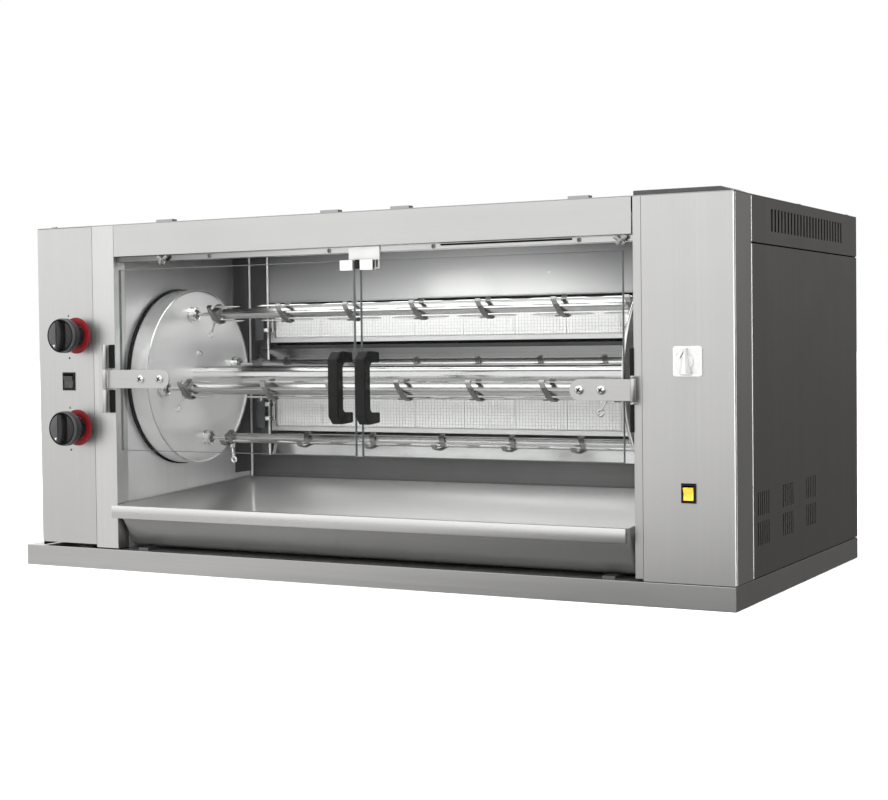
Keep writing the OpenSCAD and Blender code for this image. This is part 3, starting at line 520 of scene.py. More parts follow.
def gas_knob(body):
    """Stepped body, dished face in two tones, bowed grip bar and a small pointer."""
    lo, hi = corners(body)
    cx, cz = (lo[0] + hi[0]) / 2, (lo[2] + hi[2]) / 2
    r = (hi[0] - lo[0]) / 2
    face, depth = lo[1] + GRIP_H, hi[1] - lo[1] - GRIP_H
    dish_r, neck_r = r - 3.8, 20
    bm = fresh()
    profile = [(0, -4), (dish_r, -4), (dish_r, -0.2), (r - 3.2, 0.3), (r - 1.8, -0.4), (r - 0.5, -2),
               (r, -5), (r, -15), (r - 1.5, -18.5), (neck_r + 1, -19.5), (neck_r, -21),
               (neck_r, -depth), (0, -depth)]
    # the dish floor and its walls take the black gap material: painted shade in the groove between the pads
    lathe(bm, profile, (cx, face, cz), FRONT, 72, [2] * 4 + [1] * 2 + [0] * 6)

    def raised(outline, front, edge, mat):
        slab(bm, [(cx + x, cz + z) for x, z in outline], face + front, face + DISH, edge, mat)

    raised(segment(r - 4.4, -9, -1), -0.4, 0.7, 1)
    raised(segment(r - 4.4, 11, 1), 0.6, 0.7, 0)
    raised(arc(-3.5, 0, 1.6, 24.5, -90, 90, 15) + arc(-3.0, 0, 10, 24.5, 75, -75, -15), -GRIP_H, 1.6, 0)
    pointer = [(cx - 15.5, cz - 15.5), (cx - 10, cz - 15.5), (cx - 12.8, cz - 20.3)]
    slab(bm, pointer, face - 0.7, face, 0.1, 3)
    piece(body + "_moulded", bm, ["knob", "knob_face", "void", "white"], body, (body,))


def knob_rings_and_marks():
    """A coloured ring behind each knob with a short white arc on it, a painted reflection; a dot above it and
    an arrow below it on the panel.
    """
    lo, hi = corners("knob_bezels")
    panel_y = hi[1]
    r = (hi[0] - lo[0]) / 2
    mark_x = (corners("black_rocker")[0][0] + corners("black_rocker")[1][0]) / 2
    arrow = ((-1.5, -1.6), (1.5, -1.6), (1.9, 0.3), (0, 2.2), (-1.9, 0.3))
    rings, marks = fresh(), fresh()
    for body in ("upper_knob", "lower_knob"):
        x, _, z = middle(body)
        lathe(rings, [(19.2, 0), (19.2, 1.2), (22, 1.9), (r - 1.5, RING_H), (r - 0.3, 1.3), (r, 0)],
              (x, panel_y, z), FRONT, 72, [0] * 5)
        # the short white arc: painted reflection on the ring
        lathe(rings, [(r - 2.2, 1.9), (r - 2.2, 2.15), (r - 1.2, 2.1), (r - 1.2, 1.6)],
              (x, panel_y, z), FRONT, 24, [1] * 3, (115, 165))
        ring(marks, (mark_x + 1, panel_y - 0.1, z + 34), FRONT, 1.3, 0.5, 16, 0, 0.5)
        outline = [(mark_x + 2 + a, z - 38.5 + b) for a, b in arrow]
        slab(marks, outline, panel_y - 0.25, panel_y + 0.1, 0.08, 0)
    piece("knob_rings", rings, ["red", "white"], "cabinet", ("knob_bezels",))
    piece("panel_marks", marks, ["ink"], "cabinet")


gas_knob("upper_knob")
gas_knob("lower_knob")
knob_rings_and_marks()

# ------------------------------------------------------------------ timer
PLATE_HALF, PLATE_ROUND = 21.5, 4   # half the timer plate's width, and its corner radius
TICKS, TICK_SWEEP = 23, 300         # marks round the dial, and the degrees that they cover
TICK_R = 17.2


def timer_dial(x, z, face):
    """Square plate with a raised ring and plain ticks."""
    bm = fresh()
    side = PLATE_HALF - PLATE_ROUND
    outline = []
    for sx, sz, a0 in ((1, 1, 0), (-1, 1, 90), (-1, -1, 180), (1, -1, 270)):
        outline += arc(x + sx * side, z + sz * side, PLATE_ROUND, PLATE_ROUND, a0, a0 + 90, 15)
    slab(bm, outline, face - 0.6, face + 2, 1.1, 0)
    lathe(bm, [(17.9, 0.5), (18.2, 0.85), (18.7, 0.85), (19.0, 0.5)], (x, face, z), FRONT, 60, [0] * 3)
    centre = move(x, face - 0.62, z)
    for i in range(TICKS):
        turn = centre @ spin(-TICK_SWEEP / 2 + TICK_SWEEP * i / (TICKS - 1), "Y")
        block(bm, (-0.22, -0.12, TICK_R - (1.3 if i % 2 else 2.4)), (0.22, 0.1, TICK_R), 0, 1, turn)
    for a in (-58, 0, 58, 155):
        block(bm, (-0.6, -0.15, 17.6), (0.6, 0.1, 18.9), 0.1, 2, centre @ spin(a, "Y"))
    piece("timer_dial", bm, ["white", "mark_grey", "ink"], "cabinet", ("timer_plate",))


def timer_pointer(x, z, face):
    """Wedge-shaped pointer on a round boss, with a dark hand along its left slope."""
    bm = fresh()
    lathe(bm, [(9.5, 0.7), (9.5, 3.0), (8.8, 3.6), (0, 3.6)], (x, face, z), FRONT, 40)
    foot = [(-11, -19), (7.5, -19), (0.8, 18.5), (-2.8, 18.5)]
    ridge = [(-4.6, -18), (2.4, -18), (-0.2, 17), (-1.4, 17)]
    low = [bm.verts.new((x + dx, face - 3.0, z + dz)) for dx, dz in foot]
    top = [bm.verts.new((x + dx, face - (15.0 if dz < 0 else 11.0), z + dz)) for dx, dz in ridge]
    bm.faces.new(low)
    bm.faces.new(top[::-1])
    for k in range(4):
        bm.faces.new((low[k], low[(k + 1) % 4], top[(k + 1) % 4], top[k]))
    wedge = list({e for f in unpainted(bm) for e in f.edges})
    bmesh.ops.bevel(bm, geom=wedge, offset=0.8, segments=2, profile=0.5, affect="EDGES")
    paint(bm, 0)
    lean = math.degrees(math.atan2(5.6, 11.3))
    hand = move(x - 3.9, face - 10.6, z + 10.0) @ spin(lean, "Y") @ spin(-9, "X")
    block(bm, (-0.6, -0.6, -6.3), (0.6, 0.6, 6.3), 0.3, 1, hand)
    piece("timer_pointer", bm, ["white", "ink"], "timer_knob", ("timer_knob",))


panel_face = corners("right_front_panel")[0][1] - 2
timer_x, _, timer_z = middle("timer_knob")
timer_dial(timer_x, timer_z, panel_face)
timer_pointer(timer_x, timer_z, panel_face)

# ------------------------------------------------------------------ door panes, arm screws, catch plates
KNUCKLE_R = 4.2
ARM_SCREWS = {"left": (73.5, 113.0), "right": (49.8, 84.0)}     # distances from the hinge axis
CATCH_W, CATCH_H = 24.0, 15.0


def door_fittings(side):
    """Glass pane with ground edges, two arm screws and a white catch plate at the top inner corner."""
    lo, hi = corners(side + "_glass")
    bm = fresh()
    block(bm, lo, hi, 0.8, 1)
    for f in bm.faces:
        f.normal_update()
        if abs(f.normal.y) > 0.99:
            f.material_index = 0
    piece(side + "_pane", bm, ["glass", "edge"], side + "_door", (side + "_glass",))
    metal_lo, metal_hi = corners(side + "_door_metal")
    arm_z, arm_y = metal_lo[2] + 16.5, lo[1] - 5
    bm = fresh()
    for d in ARM_SCREWS[side]:
        x = metal_lo[0] + KNUCKLE_R + d if side == "left" else metal_hi[0] - KNUCKLE_R - d
        screw(bm, x, arm_y - 0.3, arm_z, 6.8)
    x0 = metal_hi[0] + 0.4 - CATCH_W if side == "left" else metal_lo[0] - 0.4
    x1 = x0 + CATCH_W
    back, front, top = hi[1], lo[1], hi[2]
    block(bm, (x0, back + 0.05, top - CATCH_H), (x1, back + 1.15, top - 0.2), 0.4, 2)
    block(bm, (x0, front - 1.0, top - CATCH_H), (x1 - 1, front - 0.05, top + 0.9), 0.4, 2)
    block(bm, (x0, front - 0.6, top + 0.1), (x1 - 1, back + 0.9, top + 0.9), 0.3, 2)
    piece(side + "_door_screws", bm, ["bright", "void", "white"], side + "_door")


door_fittings("left")
door_fittings("right")

# ------------------------------------------------------------------ strip under the beam
SCREW_X = (-249, -18, 168, 408)
WING_NUT_X = (-341, 474)
SLOT_X = (176, 401)


def wing_nut(bm, x, y, z):
    """Round nut on a stud, with two long upper wings and two short lower ones."""
    lathe(bm, [(4.6, 0), (4.6, 5), (3.6, 8.5), (2.6, 9), (2.6, 11.5), (0, 11.8)],
          (x, y, z), FRONT, 20, [0] * 5)
    for s in (-1, 1):
        for angle, reach in ((52, 12.5), (128, 8.0)):
            block(bm, (-3.1, -1.3, 2), (3.1, 1.3, reach), 1.1, 0, move(x, y - 6, z) @ spin(s * angle, "Y"))


strip_lo, strip_hi = corners("air_strip")
bm = fresh()
for x in SCREW_X:
    screw(bm, x, strip_lo[1], strip_hi[2] - 4.6, 3.5)
for x in WING_NUT_X:
    wing_nut(bm, x, strip_lo[1], strip_hi[2] - 9.1)
piece("strip_hardware", bm, ["nut", "void"], "cabinet", ("strip_fasteners",))
# dark block behind the strip's slots: painted shade for the unlit space behind them
bm = fresh()
block(bm, (SLOT_X[0], strip_lo[1] + 2.2, strip_hi[2] - 8),
      (SLOT_X[1], strip_lo[1] + 3.2, strip_hi[2] + 6), 0.3)
piece("slot_shade", bm, ["void"], "cabinet")

# ------------------------------------------------------------------ burners: wire screens, posts, trims
BURNER_H = 52.0
WIRES_ALONG, WIRES_ACROSS = 10, 133
WIRE_HALF = 0.28                    # half the side of an upright wire
plaque_lo, plaque_hi = corners("burner_plaques")
BURNERS = (plaque_hi[2] - BURNER_H, plaque_lo[2])           # lower edge of each burner


def burner_screens():
    """Woven wire in front of each burner: round wires along it, square ones upright."""
    bm = fresh()
    along = [(0.35, plaque_lo[0] - 3), (0.35, plaque_hi[0] + 3)]
    square = [(sx * WIRE_HALF, sy * WIRE_HALF) for sx, sy in ((-1, -1), (1, -1), (1, 1), (-1, 1))]
    for z0 in BURNERS:
        for i in range(WIRES_ALONG):
            z = z0 + 1 + 50.0 * i / (WIRES_ALONG - 1)
            lathe(bm, along, (0, plaque_lo[1] - 2.0, z), AXIS_X, 5)
        for i in range(WIRES_ACROSS):
            x = plaque_lo[0] + (plaque_hi[0] - plaque_lo[0]) * i / (WIRES_ACROSS - 1)
            wire = [bm.verts.new((x + dx, plaque_lo[1] - 1.2 + dy, z))
                    for z in (z0 - 1, z0 + 1 + BURNER_H) for dx, dy in square]
            for k in range(4):
                bm.faces.new((wire[k], wire[(k + 1) % 4], wire[4 + (k + 1) % 4], wire[4 + k]))
    paint(bm, 0)
    piece("burner_screens", bm, ["wire"], "cabinet")


def igniter_posts():
    """Two ribbed ceramic posts, a screw head and a thin electrode beside each burner."""
    x, y = corners("igniters")[0][:2]
    ribs = [(3.9, 0), (3.9, 6), (3.1, 7), (3.9, 8), (3.9, 14), (3.1, 15), (3.9, 16), (3.9, 21),
            (2.0, 23), (0, 23)]
    bm = fresh()
    for zc in ((plaque_hi[2] + BURNERS[0]) / 2, (plaque_lo[2] + plaque_lo[2] + BURNER_H) / 2):
        for dz in (-12, 14):
            lathe(bm, ribs, (x + 3, y + 8, zc + dz), AXIS_X, 20, [0] * 9)
        lathe(bm, [(4.2, 0), (4.2, 1.2), (2.8, 2.2), (0, 2.4)], (x + 9, y, zc + 24), FRONT, 20, [1] * 3)
        lathe(bm, [(1.2, -16), (1.2, 19), (0, 20)], (x + 34.5, y + 6, zc), AXIS_Z, 10, [1] * 2)
    piece("igniter_posts", bm, ["porcelain", "bright"], "cabinet")


TRIM_Z = ((131, 560), (174, 561))   # foot and top of each bright trim
COVER_Z = (172, 562)                # foot and top of the dark cover beside the upper reflector


def rear_trims():
    """Bright upright trims at the left of the rear wall, and the dark cover between them."""
    wall_x = corners("side_shields")[0][0]
    wall_y = corners("rear_liner")[0][1]
    bm = fresh()
    for x, y, (z0, z1), wide in ((wall_x + 3.5, wall_y - 6, TRIM_Z[0], 3.6),
                                 (mirror_lo[0] + 12.0, mirror_lo[1] - 3, TRIM_Z[1], 3.4)):
        block(bm, (x, y - 1.2, z0), (x + wide, y, z1), 0.5)
        block(bm, (x, y - 1.0, z0), (x + 1.2, y + 5, z1), 0.3)
    block(bm, (mirror_lo[0] - 6, mirror_lo[1] - 1.6, COVER_Z[0]),
          (mirror_lo[0] + 12.4, mirror_lo[1] - 0.4, COVER_Z[1]), 0.3, 1)
    piece("rear_trims", bm, ["mirror_trim", "shield"], "cabinet")


MIRROR_STEPS = 18
MIRROR_BOW = 12.0                   # how far the top leans back
MIRROR_FLAT = 0.45                  # the share of the height that stays upright


def upper_mirror():
    """Upper reflector, bowed so that its top looks up and the rest looks out."""
    bm = fresh()
    rows = []
    for i in range(MIRROR_STEPS + 1):
        t = i / MIRROR_STEPS
        y = mirror_lo[1] + 3.0 + MIRROR_BOW * max(0.0, t - MIRROR_FLAT) ** 1.5
        z = mirror_lo[2] + (mirror_hi[2] - mirror_lo[2]) * t
        rows.append([bm.verts.new((x, y, z)) for x in (mirror_lo[0], mirror_hi[0])])
    for a, b in zip(rows, rows[1:]):
        bm.faces.new((a[0], a[1], b[1], b[0]))
    paint(bm, 0)
    o = piece("upper_mirror", bm, ["mirror_up"], "cabinet", ("upper_reflector",), 60)
    thick = o.modifiers.new("sheet", "SOLIDIFY")
    thick.thickness, thick.offset = 1.2 * MM, 0
    return o


mirror_lo, mirror_hi = corners("upper_reflector")
burner_screens()
igniter_posts()
rear_trims()
upper = upper_mirror()
# a dark block in the slit under the upper reflector: painted shade
bm = fresh()
block(bm, (mirror_lo[0] + 330, mirror_lo[1] + 0.5, mirror_lo[2] - 4),
      (mirror_hi[0] - 4, mirror_lo[1] + 2.2, mirror_lo[2] + 1.5), 0.3)
piece("mirror_gap_shade", bm, ["void"], "cabinet")

# ------------------------------------------------------------------ rotor drum edge, seal and cups
DISC_T = 11                         # from a drum's inner side to the face that carries the cups
(drum_lo, drum_hi), far_lo = corners("disc_left"), corners("disc_right")[0]
axis_y, axis_z = middle("disc_right")[1:]
disc_r = (drum_hi[2] - drum_lo[2]) / 2
face_l, face_r = drum_hi[0] - DISC_T, far_lo[0] + DISC_T
spit_axis = {}
for j in frame["record"]["behaviour"]["joints"]:
    if j["name"].endswith("_spin") and j["name"].startswith("spit"):
        spit_axis[j["child"]] = [v / MM for v in j["pos_m"]]


def drum_gap_shade():
    """Black ring between the left drum and the wall: painted shade in the gap between them."""
    r0, r1 = disc_r - 14, disc_r + 2.0
    x0, x1 = drum_lo[0] - 7.4, drum_lo[0] - 0.3
    bm = fresh()
    lathe(bm, [(r0, x0), (r1 - 0.6, x0), (r1, x0 + 0.6), (r1, x1), (r0, x1)],
          (0, axis_y, axis_z), AXIS_X, 128, [0] * 4)
    piece("drum_gap_shade", bm, ["void"], "rotor")


def rotor_trim():
    """Rolled edges of the discs, and a flanged cup for each spit end, dark inside as painted shade."""
    cup = [(13.6, 0), (13.6, 1.6), (12.9, 2.2), (11.6, 2.2), (11.7, 9.6), (12.3, 10.4), (12.3, 12.2),
           (11.4, 13), (9.4, 13), (8.7, 12.2), (8.7, 5.5), (3.5, 5.5)]
    bm = fresh()
    ring(bm, (face_l + 1.2, axis_y, axis_z), AXIS_X, disc_r - 1.9, 1.9, 128)
    ring(bm, (face_r - 0.6, axis_y, axis_z), AXIS_X, disc_r - 0.8, 1.2, 128)
    for p in spit_axis.values():
        for x, s in ((face_l, 1), (face_r, -1)):
            # the bore and floor of each cup are black gap: painted shade in the hollow
            lathe(bm, cup, (x, p[1], p[2]), (s, 0, 0), 36, [0] * 9 + [1] * 2)
    ring(bm, (face_l + 4.6, axis_y, axis_z + 41), AXIS_X, 3.6, 1.3, 24)
    piece("rotor_trim", bm, ["bright", "void"], "rotor")


drum_gap_shade()
rotor_trim()

# ------------------------------------------------------------------ spits with forks and end clamps
TILT = {"spit_1": 29, "spit_2": -70, "spit_3": -72, "spit_4": 25}       # degrees its prongs are turned
LEAN = {"spit_1": 20, "spit_2": 0, "spit_3": -8, "spit_4": 30}          # degrees its levers lean
FORKS = {"spit_1": (-204, -71, 56, 177, 309), "spit_2": (-285, -150, -19, 100, 215, 330),
         "spit_3": (-186, -55, 77, 205, 326), "spit_4": (-178, -52, 76, 203, 328)}
ENDS = ((-347, 1), (431, -1))       # clamps at the ends, with the side that their prongs are on
BAR = 12.5
PRONG, PRONG_R, PRONG_TAPER = 55.0, 1.7, 12.0
STUB = 4.0                          # how far a clamp's prongs reach on their short side
GAP = 14.0
PIN_R = 3.2
wheel_x = corners("sun_hub")[0][0] + 12.5


def spit_bar(bm):
    """Square bar between two round pins, with the planet wheel and collar at its left."""
    x0, x1 = face_l + 68, face_r - 22
    lathe(bm, [(0, wheel_x - 2.5), (2.6, wheel_x - 2.5), (PIN_R, wheel_x - 1.8), (PIN_R, face_r + 7),
               (2.6, face_r + 8), (0, face_r + 8)], (0, 0, 0), AXIS_X, 20, [0] * 5)
    lathe(bm, [(4, 0), (26.5, 0), (27.6, 1), (27.6, 11), (26.5, 12), (22, 12), (21, 9), (9, 9), (8, 12),
               (4, 12)], (wheel_x, 0, 0), AXIS_X, 64, [0] * 9)
    lathe(bm, [(PIN_R, 5), (6.4, 6), (7.0, 8), (6.0, 10.4), (PIN_R, 12)], (face_l, 0, 0), AXIS_X, 24, [0] * 4)
    block(bm, (x0, -BAR / 2, -BAR / 2), (x1, BAR / 2, BAR / 2), 0.7, 0, spin(45, "X"))
    for x, s in ((x0, 1), (x1, -1)):
        lathe(bm, [(PIN_R, -9), (5.4, -4), (6.4, 0.5), (0, 0.5)], (x, 0, 0), (s, 0, 0), 24, [0] * 3)


def fork(bm, x, side, tilt):
    """Two bent clips round the bar and two prongs; side is 1 or -1 where prongs point one way only."""
    clip = [(-9, -1, 16.6), (-7.5, 6, 15.6), (-3.0, 10.6, 10),
            (3.0, 10.6, -8), (7.5, 6, -15.6), (9, -1, -16.6)]
    for back in (1, -1):
        sweep(bm, [tilt @ Vector((x + a, -b * back, c * back)) for a, b, c in clip], 9.0, 1.8, 1)
    left, left_taper = (STUB, 5.2) if side == 1 else (PRONG, PRONG_TAPER)
    right, right_taper = (STUB, 5.2) if side == -1 else (PRONG, PRONG_TAPER)
    a, b = x - left, x + right
    prong = [(0, a), (1.0, a + 5), (PRONG_R, a + left_taper),
             (PRONG_R, b - right_taper), (1.0, b - 5), (0, b)]
    for up in (1, -1):
        c = tilt @ Vector((0, 0, up * GAP))
        lathe(bm, prong, (0, c.y, c.z), AXIS_X, 10, [2] * 5)


def clamp(bm, x, lean, tilt):
    """Clamp block with a hanging lever screw that ends in an eye."""
    stem = [(4.8, 5), (5.2, 10), (4.4, 17), (2.6, 18.5), (2.3, 26), (3.2, 31), (2.4, 34), (0, 34.5)]
    block(bm, (x - 7.5, -9.6, -9.6), (x + 7.5, 9.6, 9.6), 2.2, 1, tilt)
    turn = (move(x, 0, 0) @ spin(lean, "Y")).to_3x3()
    down = turn @ Vector((0, 0, -1))
    lathe(bm, stem, (x, 0, 0), down, 20, [2] * 7)
    ring(bm, Vector((x, 0, 0)) + down * 38.5, turn @ Vector((0, 1, 0)), 4.4, 2.3, 24, 2, 0.75)


def spit(body, y, z):
    bm = fresh()
    tilt = spin(TILT[body], "X")
    spit_bar(bm)
    for x, side in [(x, 0) for x in FORKS[body]] + list(ENDS):
        fork(bm, x, side, tilt)
    for x, _ in ENDS:
        clamp(bm, x, LEAN[body], tilt)
    bmesh.ops.translate(bm, vec=(0, y, z), verts=bm.verts)
    piece(body + "_turned", bm, ["spit", "clip", "bright"], body, (body,))


for body, (_, y, z) in spit_axis.items():
    spit(body, y, z)

# ------------------------------------------------------------------ drip pan: pressed shell and rolled lip
PAN_SHEET = 1.5
PAN_ROUND = 9.0                     # radius where the pan's walls meet
TOE_SET_BACK = 36                   # from the cabinet's face to the foot of the pan's sloped front
LIP_H, LIP_RISE = 21.5, 73.5         # height of the lip, and of its top over the foot of the pan
pan_lo, pan_hi = corners("drip_pan")
lip_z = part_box("drip_pan")[0][2] / MM + LIP_RISE


def pan_shell():
    """Pressed tray: sloped front, flat floor, upright back and two end walls, all rounded inside."""
    bottom, back = pan_lo[2] + PAN_SHEET, pan_hi[1] - PAN_SHEET
    toe_y = corners("right_front_panel")[0][1] + TOE_SET_BACK
    section = ((pan_lo[1] + 7, lip_z - 1), (toe_y, bottom), (back, bottom), (back, pan_hi[2]))
    bm = fresh()
    ends = [[bm.verts.new((x, y, z)) for y, z in section]
            for x in (pan_lo[0] + PAN_SHEET, pan_hi[0] - PAN_SHEET)]
    for k in (1, 0, 2):
        bm.faces.new((ends[0][k], ends[1][k], ends[1][k + 1], ends[0][k + 1]))
    for end in ends:
        bm.faces.new(end)
    bmesh.ops.recalc_face_normals(bm, faces=bm.faces)
    inside = [e for e in bm.edges if len(e.link_faces) == 2]
    bmesh.ops.bevel(bm, geom=inside, offset=PAN_ROUND, segments=5, profile=0.5, affect="EDGES",
                    clamp_overlap=True)
    paint(bm, 0)
    pan = piece("pan_shell", bm, ["pan_in", "pan_skin_shaded"], "drip_pan", ("drip_pan",), 40)
    flat = max(pan.data.polygons, key=lambda f: f.area * abs(f.normal.z))
    if flat.normal.z < 0:
        pan.data.flip_normals()
    thick = pan.modifiers.new("sheet", "SOLIDIFY")
    thick.thickness, thick.offset = PAN_SHEET * MM, -1.0
    # the outer skin takes the darker steel: painted shade
    thick.material_offset = 1


def pan_lip():
    """Folded lip along the front, with its turned-in top and ends."""
    front, low = pan_lo[1], lip_z - LIP_H
    x0, x1 = pan_lo[0], pan_hi[0]
    bm = fresh()
    block(bm, (x0 + 0.2, front, low), (x1 - 0.2, front + 2.2, lip_z), 1.0)
    block(bm, (x0 + 0.2, front + 0.6, lip_z - 2.0), (x1 - 0.2, front + 9.5, lip_z - 0.2), 0.8)
    for x in (x0 + 0.6, x1 - 2.2):
        block(bm, (x, front + 1, low + 0.2), (x + 1.6, front + 9, lip_z - 0.6), 0.5)
    piece("pan_lip", bm, ["pan"], "drip_pan")


pan_shell()
pan_lip()

# ------------------------------------------------------------------ folded edges on the right corner, bright with painted highlights and a dark painted shade line
panel_lo, panel_hi = corners("right_front_panel")
seam_y, split_z = corners("right_side_panel")[0][1], corners("right_side_panel")[1][2]


def corner_strip(bm, y0, y1, z0, z1, proud, r, mat=0):
    """A narrow upright strip that stands a little proud of the right side."""
    block(bm, (panel_hi[0] - 1.0, y0, z0), (panel_hi[0] + proud, y1, z1), r, mat)


front_y, low_z, top_z = panel_lo[1], panel_lo[2] + 0.5, panel_hi[2] - 0.5
bm = fresh()
# bright fold strips: painted highlight along the corner
block(bm, (panel_hi[0] - 1.6, front_y - 0.15, low_z), (panel_hi[0] + 0.15, front_y + 1.6, top_z), 0.75)
corner_strip(bm, front_y + 4.4, front_y + 6.4, low_z, top_z, 0.25, 0.5)
# dark strip between them: painted shade in the crease
corner_strip(bm, front_y + 1.9, front_y + 4.2, low_z, top_z, 0.12, 0.1, 1)
piece("corner_fold", bm, ["fold", "void"], "cabinet")
# the upper and lower seam strips are bright fold steel: painted highlight
bm = fresh()
corner_strip(bm, seam_y, seam_y + 2.6, split_z + 2.5, top_z, 0.3, 0.6)
piece("upper_fold", bm, ["fold"], "cabinet")
bm = fresh()
corner_strip(bm, seam_y, seam_y + 2.6, low_z + 0.5, split_z - 0.4, 0.3, 0.6)
piece("lower_fold", bm, ["fold"], "side_panel")

# ------------------------------------------------------------------ dark plates behind the vents: painted shade for the unlit inside of the cabinet
SHADE_PLATE_T = 1.0
SIDE_FOOT, REAR_FOOT = 42, 330      # heights where the side shade plates and the rear one begin
left_lo, left_hi = corners("left_side_panel")
right_x = corners("right_side_panel")[1][0]
rear_y = corners("back_panel")[0][1]
bm = fresh()
for x in (left_hi[0] + 14, right_x - 17.5):
    block(bm, (x, left_lo[1] + 90, SIDE_FOOT), (x + SHADE_PLATE_T, left_hi[1] - 14, left_hi[2] - 8), 0.2)
block(bm, (left_hi[0] + 40, rear_y - 14, REAR_FOOT),
      (right_x - 40, rear_y - 14 + SHADE_PLATE_T, left_hi[2] - 22), 0.2)
piece("vent_shade_plates", bm, ["void"], "cabinet")


# ------------------------------------------------------------------ camera, light, floor
def look_matrix(yaw, pitch, roll):
    """Camera axes for angles in radians; yaw 0 looks along +Y."""
    fw = Vector((math.sin(yaw) * math.cos(pitch), math.cos(yaw) * math.cos(pitch), math.sin(pitch)))
    rt = Vector((math.cos(yaw), -math.sin(yaw), 0.0))
    up = rt.cross(fw)
    r2 = rt * math.cos(roll) + up * math.sin(roll)
    u2 = up * math.cos(roll) - rt * math.sin(roll)
    return Matrix((r2, u2, -fw)).transposed()


IMAGE_W, IMAGE_H = 888, 800
FOCAL_PX, CENTRE_X, CENTRE_Y = 1703.625, 399.378, 389.723
EYE = (1.39202, -2.61062, 0.38239)
YAW, PITCH, ROLL = -0.51193, -0.02828, -0.01264
SENSOR = 36.0
cam_data = bpy.data.cameras.new("camera")
cam = bpy.data.objects.new("camera", cam_data)
scene.collection.objects.link(cam)
cam.matrix_world = Matrix.Translation(EYE) @ look_matrix(YAW, PITCH, ROLL).to_4x4()
cam_data.sensor_width = SENSOR
cam_data.lens = FOCAL_PX * SENSOR / IMAGE_W
cam_data.shift_x = (IMAGE_W / 2 - CENTRE_X) / IMAGE_W
cam_data.shift_y = (CENTRE_Y - IMAGE_H / 2) / IMAGE_W
cam_data.clip_start, cam_data.clip_end = 0.05, 200
scene.camera = cam


def area(name, loc, aim, size, power, colour=(1, 1, 1)):
    d = bpy.data.lights.new(name, "AREA")
    d.shape, d.size, d.size_y, d.energy, d.color = "RECTANGLE", size[0], size[1], power, colour
    o = bpy.data.objects.new(name, d)
    o.location = loc
    o.rotation_euler = (Vector(aim) - Vector(loc)).to_track_quat("-Z", "Y").to_euler()
    scene.collection.objects.link(o)
    return o


def soft(name, *args, gloss=False):
    """A light for matt surfaces: bright metal doesn't mirror it unless gloss is on."""
    o = area(name, *args)
    o.visible_glossy = gloss
    o.visible_camera = False
    return o


soft("key_left", (-2.6, -3.4, 2.6), (0, 0, 0.3), (2.4, 2.0), 50)
soft("front_fill", (0.5, -2.6, 0.9), (0, 0, 0.3), (2.0, 1.0), 16)
soft("top_soft", (0.2, 0.0, 4.0), (0, 0, 0.0), (6.0, 6.0), 420)
soft("back_fill", (-1.0, 3.4, 2.4), (0, 0, 0.3), (2.4, 1.6), 90)
lamp = soft("chamber_lamp", (0.03, -0.275, 0.548), (0.03, 0.05, 0.20), (0.80, 0.05), 1.7)
soft("chamber_low", (0.03, -0.30, 0.15), (0.03, 0.07, 0.26), (0.80, 0.05), 0.5)
glow = soft("chamber_glow", (0.03, -0.19, 0.560), (0.03, -0.19, 0.0), (0.74, 0.16), 0.9, gloss=True)
# the cooking lamps sit in a recess, so the polished back and the side walls get little light from them
left_wall, right_wall = NODES["left_liner"], NODES["right_liner"]
for light, shaded in ((glow, (upper, left_wall, right_wall)), (lamp, (left_wall,))):
    group = bpy.data.collections.new("shaded_from_" + light.name)
    light.light_linking.receiver_collection = group
    for o in shaded:
        group.objects.link(o)
    for c in group.collection_objects:
        c.light_linking.link_state = "EXCLUDE"

# the room that metal mirrors: bright to the front and left, dark to the right and rear
DARK_SIDE = (0.80, 0.60, 0.0)
world = bpy.data.worlds.new("studio")
scene.world = world
world.use_nodes = True
wt = world.node_tree
wt.nodes.clear()
w_out = add(wt, "ShaderNodeOutputWorld")
w_dir = add(wt, "ShaderNodeTexCoord").outputs["Generated"]
w_side = add(wt, "ShaderNodeVectorMath", {0: w_dir, 1: DARK_SIDE}, operation="DOT_PRODUCT")
w_dark = add(wt, "ShaderNodeMapRange", {"Value": w_side.outputs["Value"], "From Min": 0.1, "From Max": 0.7},
             interpolation_type="SMOOTHSTEP").outputs[0]
w_col = mixed(wt, w_dark, (1.30, 1.30, 1.29, 1), (0.24, 0.236, 0.228, 1))
w_room = add(wt, "ShaderNodeBackground", {"Color": w_col, "Strength": 1.0})
w_white = add(wt, "ShaderNodeBackground", {"Color": (1, 1, 1, 1), "Strength": 1.0})
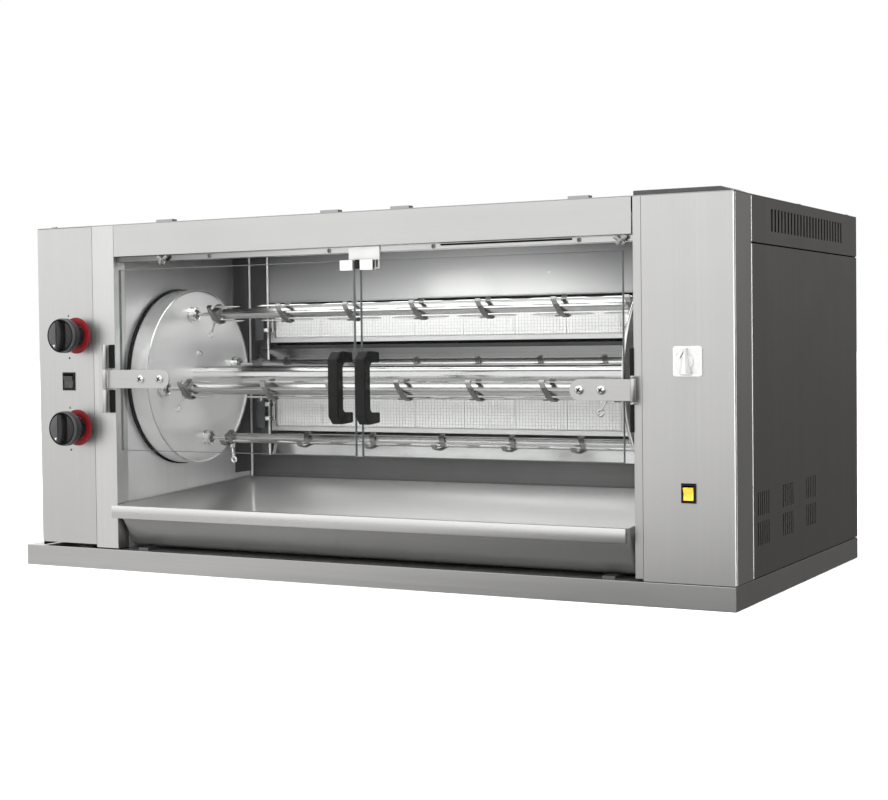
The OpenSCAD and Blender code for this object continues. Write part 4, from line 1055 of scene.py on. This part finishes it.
w_path = add(wt, "ShaderNodeLightPath").outputs["Is Camera Ray"]
w_mix = add(wt, "ShaderNodeMixShader", {0: w_path, 1: w_room.outputs[0], 2: w_white.outputs[0]})
wt.links.new(w_mix.outputs[0], w_out.inputs[0])

FLOOR_R = 40.0
bm = bmesh.new()
bmesh.ops.create_circle(bm, cap_ends=True, radius=FLOOR_R, segments=96)
floor_mesh = bpy.data.meshes.new("floor")
bm.to_mesh(floor_mesh)
bm.free()
floor = bpy.data.objects.new("floor", floor_mesh)
scene.collection.objects.link(floor)
fm = bpy.data.materials.new("pale_floor")
fm.use_nodes = True
ft = fm.node_tree
ft.nodes.clear()
f_out = add(ft, "ShaderNodeOutputMaterial")
f_tone = remap(ft, noise(ft, 3.0, 3.0, 0.5), 0, 1)
f_colour = mixed(ft, f_tone, (0.91, 0.91, 0.91, 1), (0.93, 0.93, 0.93, 1))
f_pale = add(ft, "ShaderNodeBsdfDiffuse", {"Color": f_colour})
# metal mirrors a darker counter than the one that is seen, darkest to the right and rear
f_pos = add(ft, "ShaderNodeNewGeometry").outputs["Position"]
f_side = add(ft, "ShaderNodeVectorMath", {0: f_pos, 1: DARK_SIDE}, operation="DOT_PRODUCT")
f_lit = remap(ft, f_side.outputs["Value"], 0.65, 0.12, -0.5, 0.1)
f_dim = add(ft, "ShaderNodeEmission", {"Color": (1, 0.985, 0.96, 1), "Strength": f_lit})
f_away = add(ft, "ShaderNodeVectorMath", {0: f_pos}, operation="LENGTH").outputs["Value"]
f_glow = add(ft, "ShaderNodeEmission", {"Strength": remap(ft, f_away, 0.0, 0.8, 1.2, 6.0)})
f_seen = add(ft, "ShaderNodeAddShader", {0: f_pale.outputs[0], 1: f_glow.outputs[0]})
f_path = add(ft, "ShaderNodeLightPath").outputs["Is Glossy Ray"]
f_mix = add(ft, "ShaderNodeMixShader", {0: f_path, 1: f_seen.outputs[0], 2: f_dim.outputs[0]})
ft.links.new(f_mix.outputs[0], f_out.inputs[0])
floor_mesh.materials.append(fm)
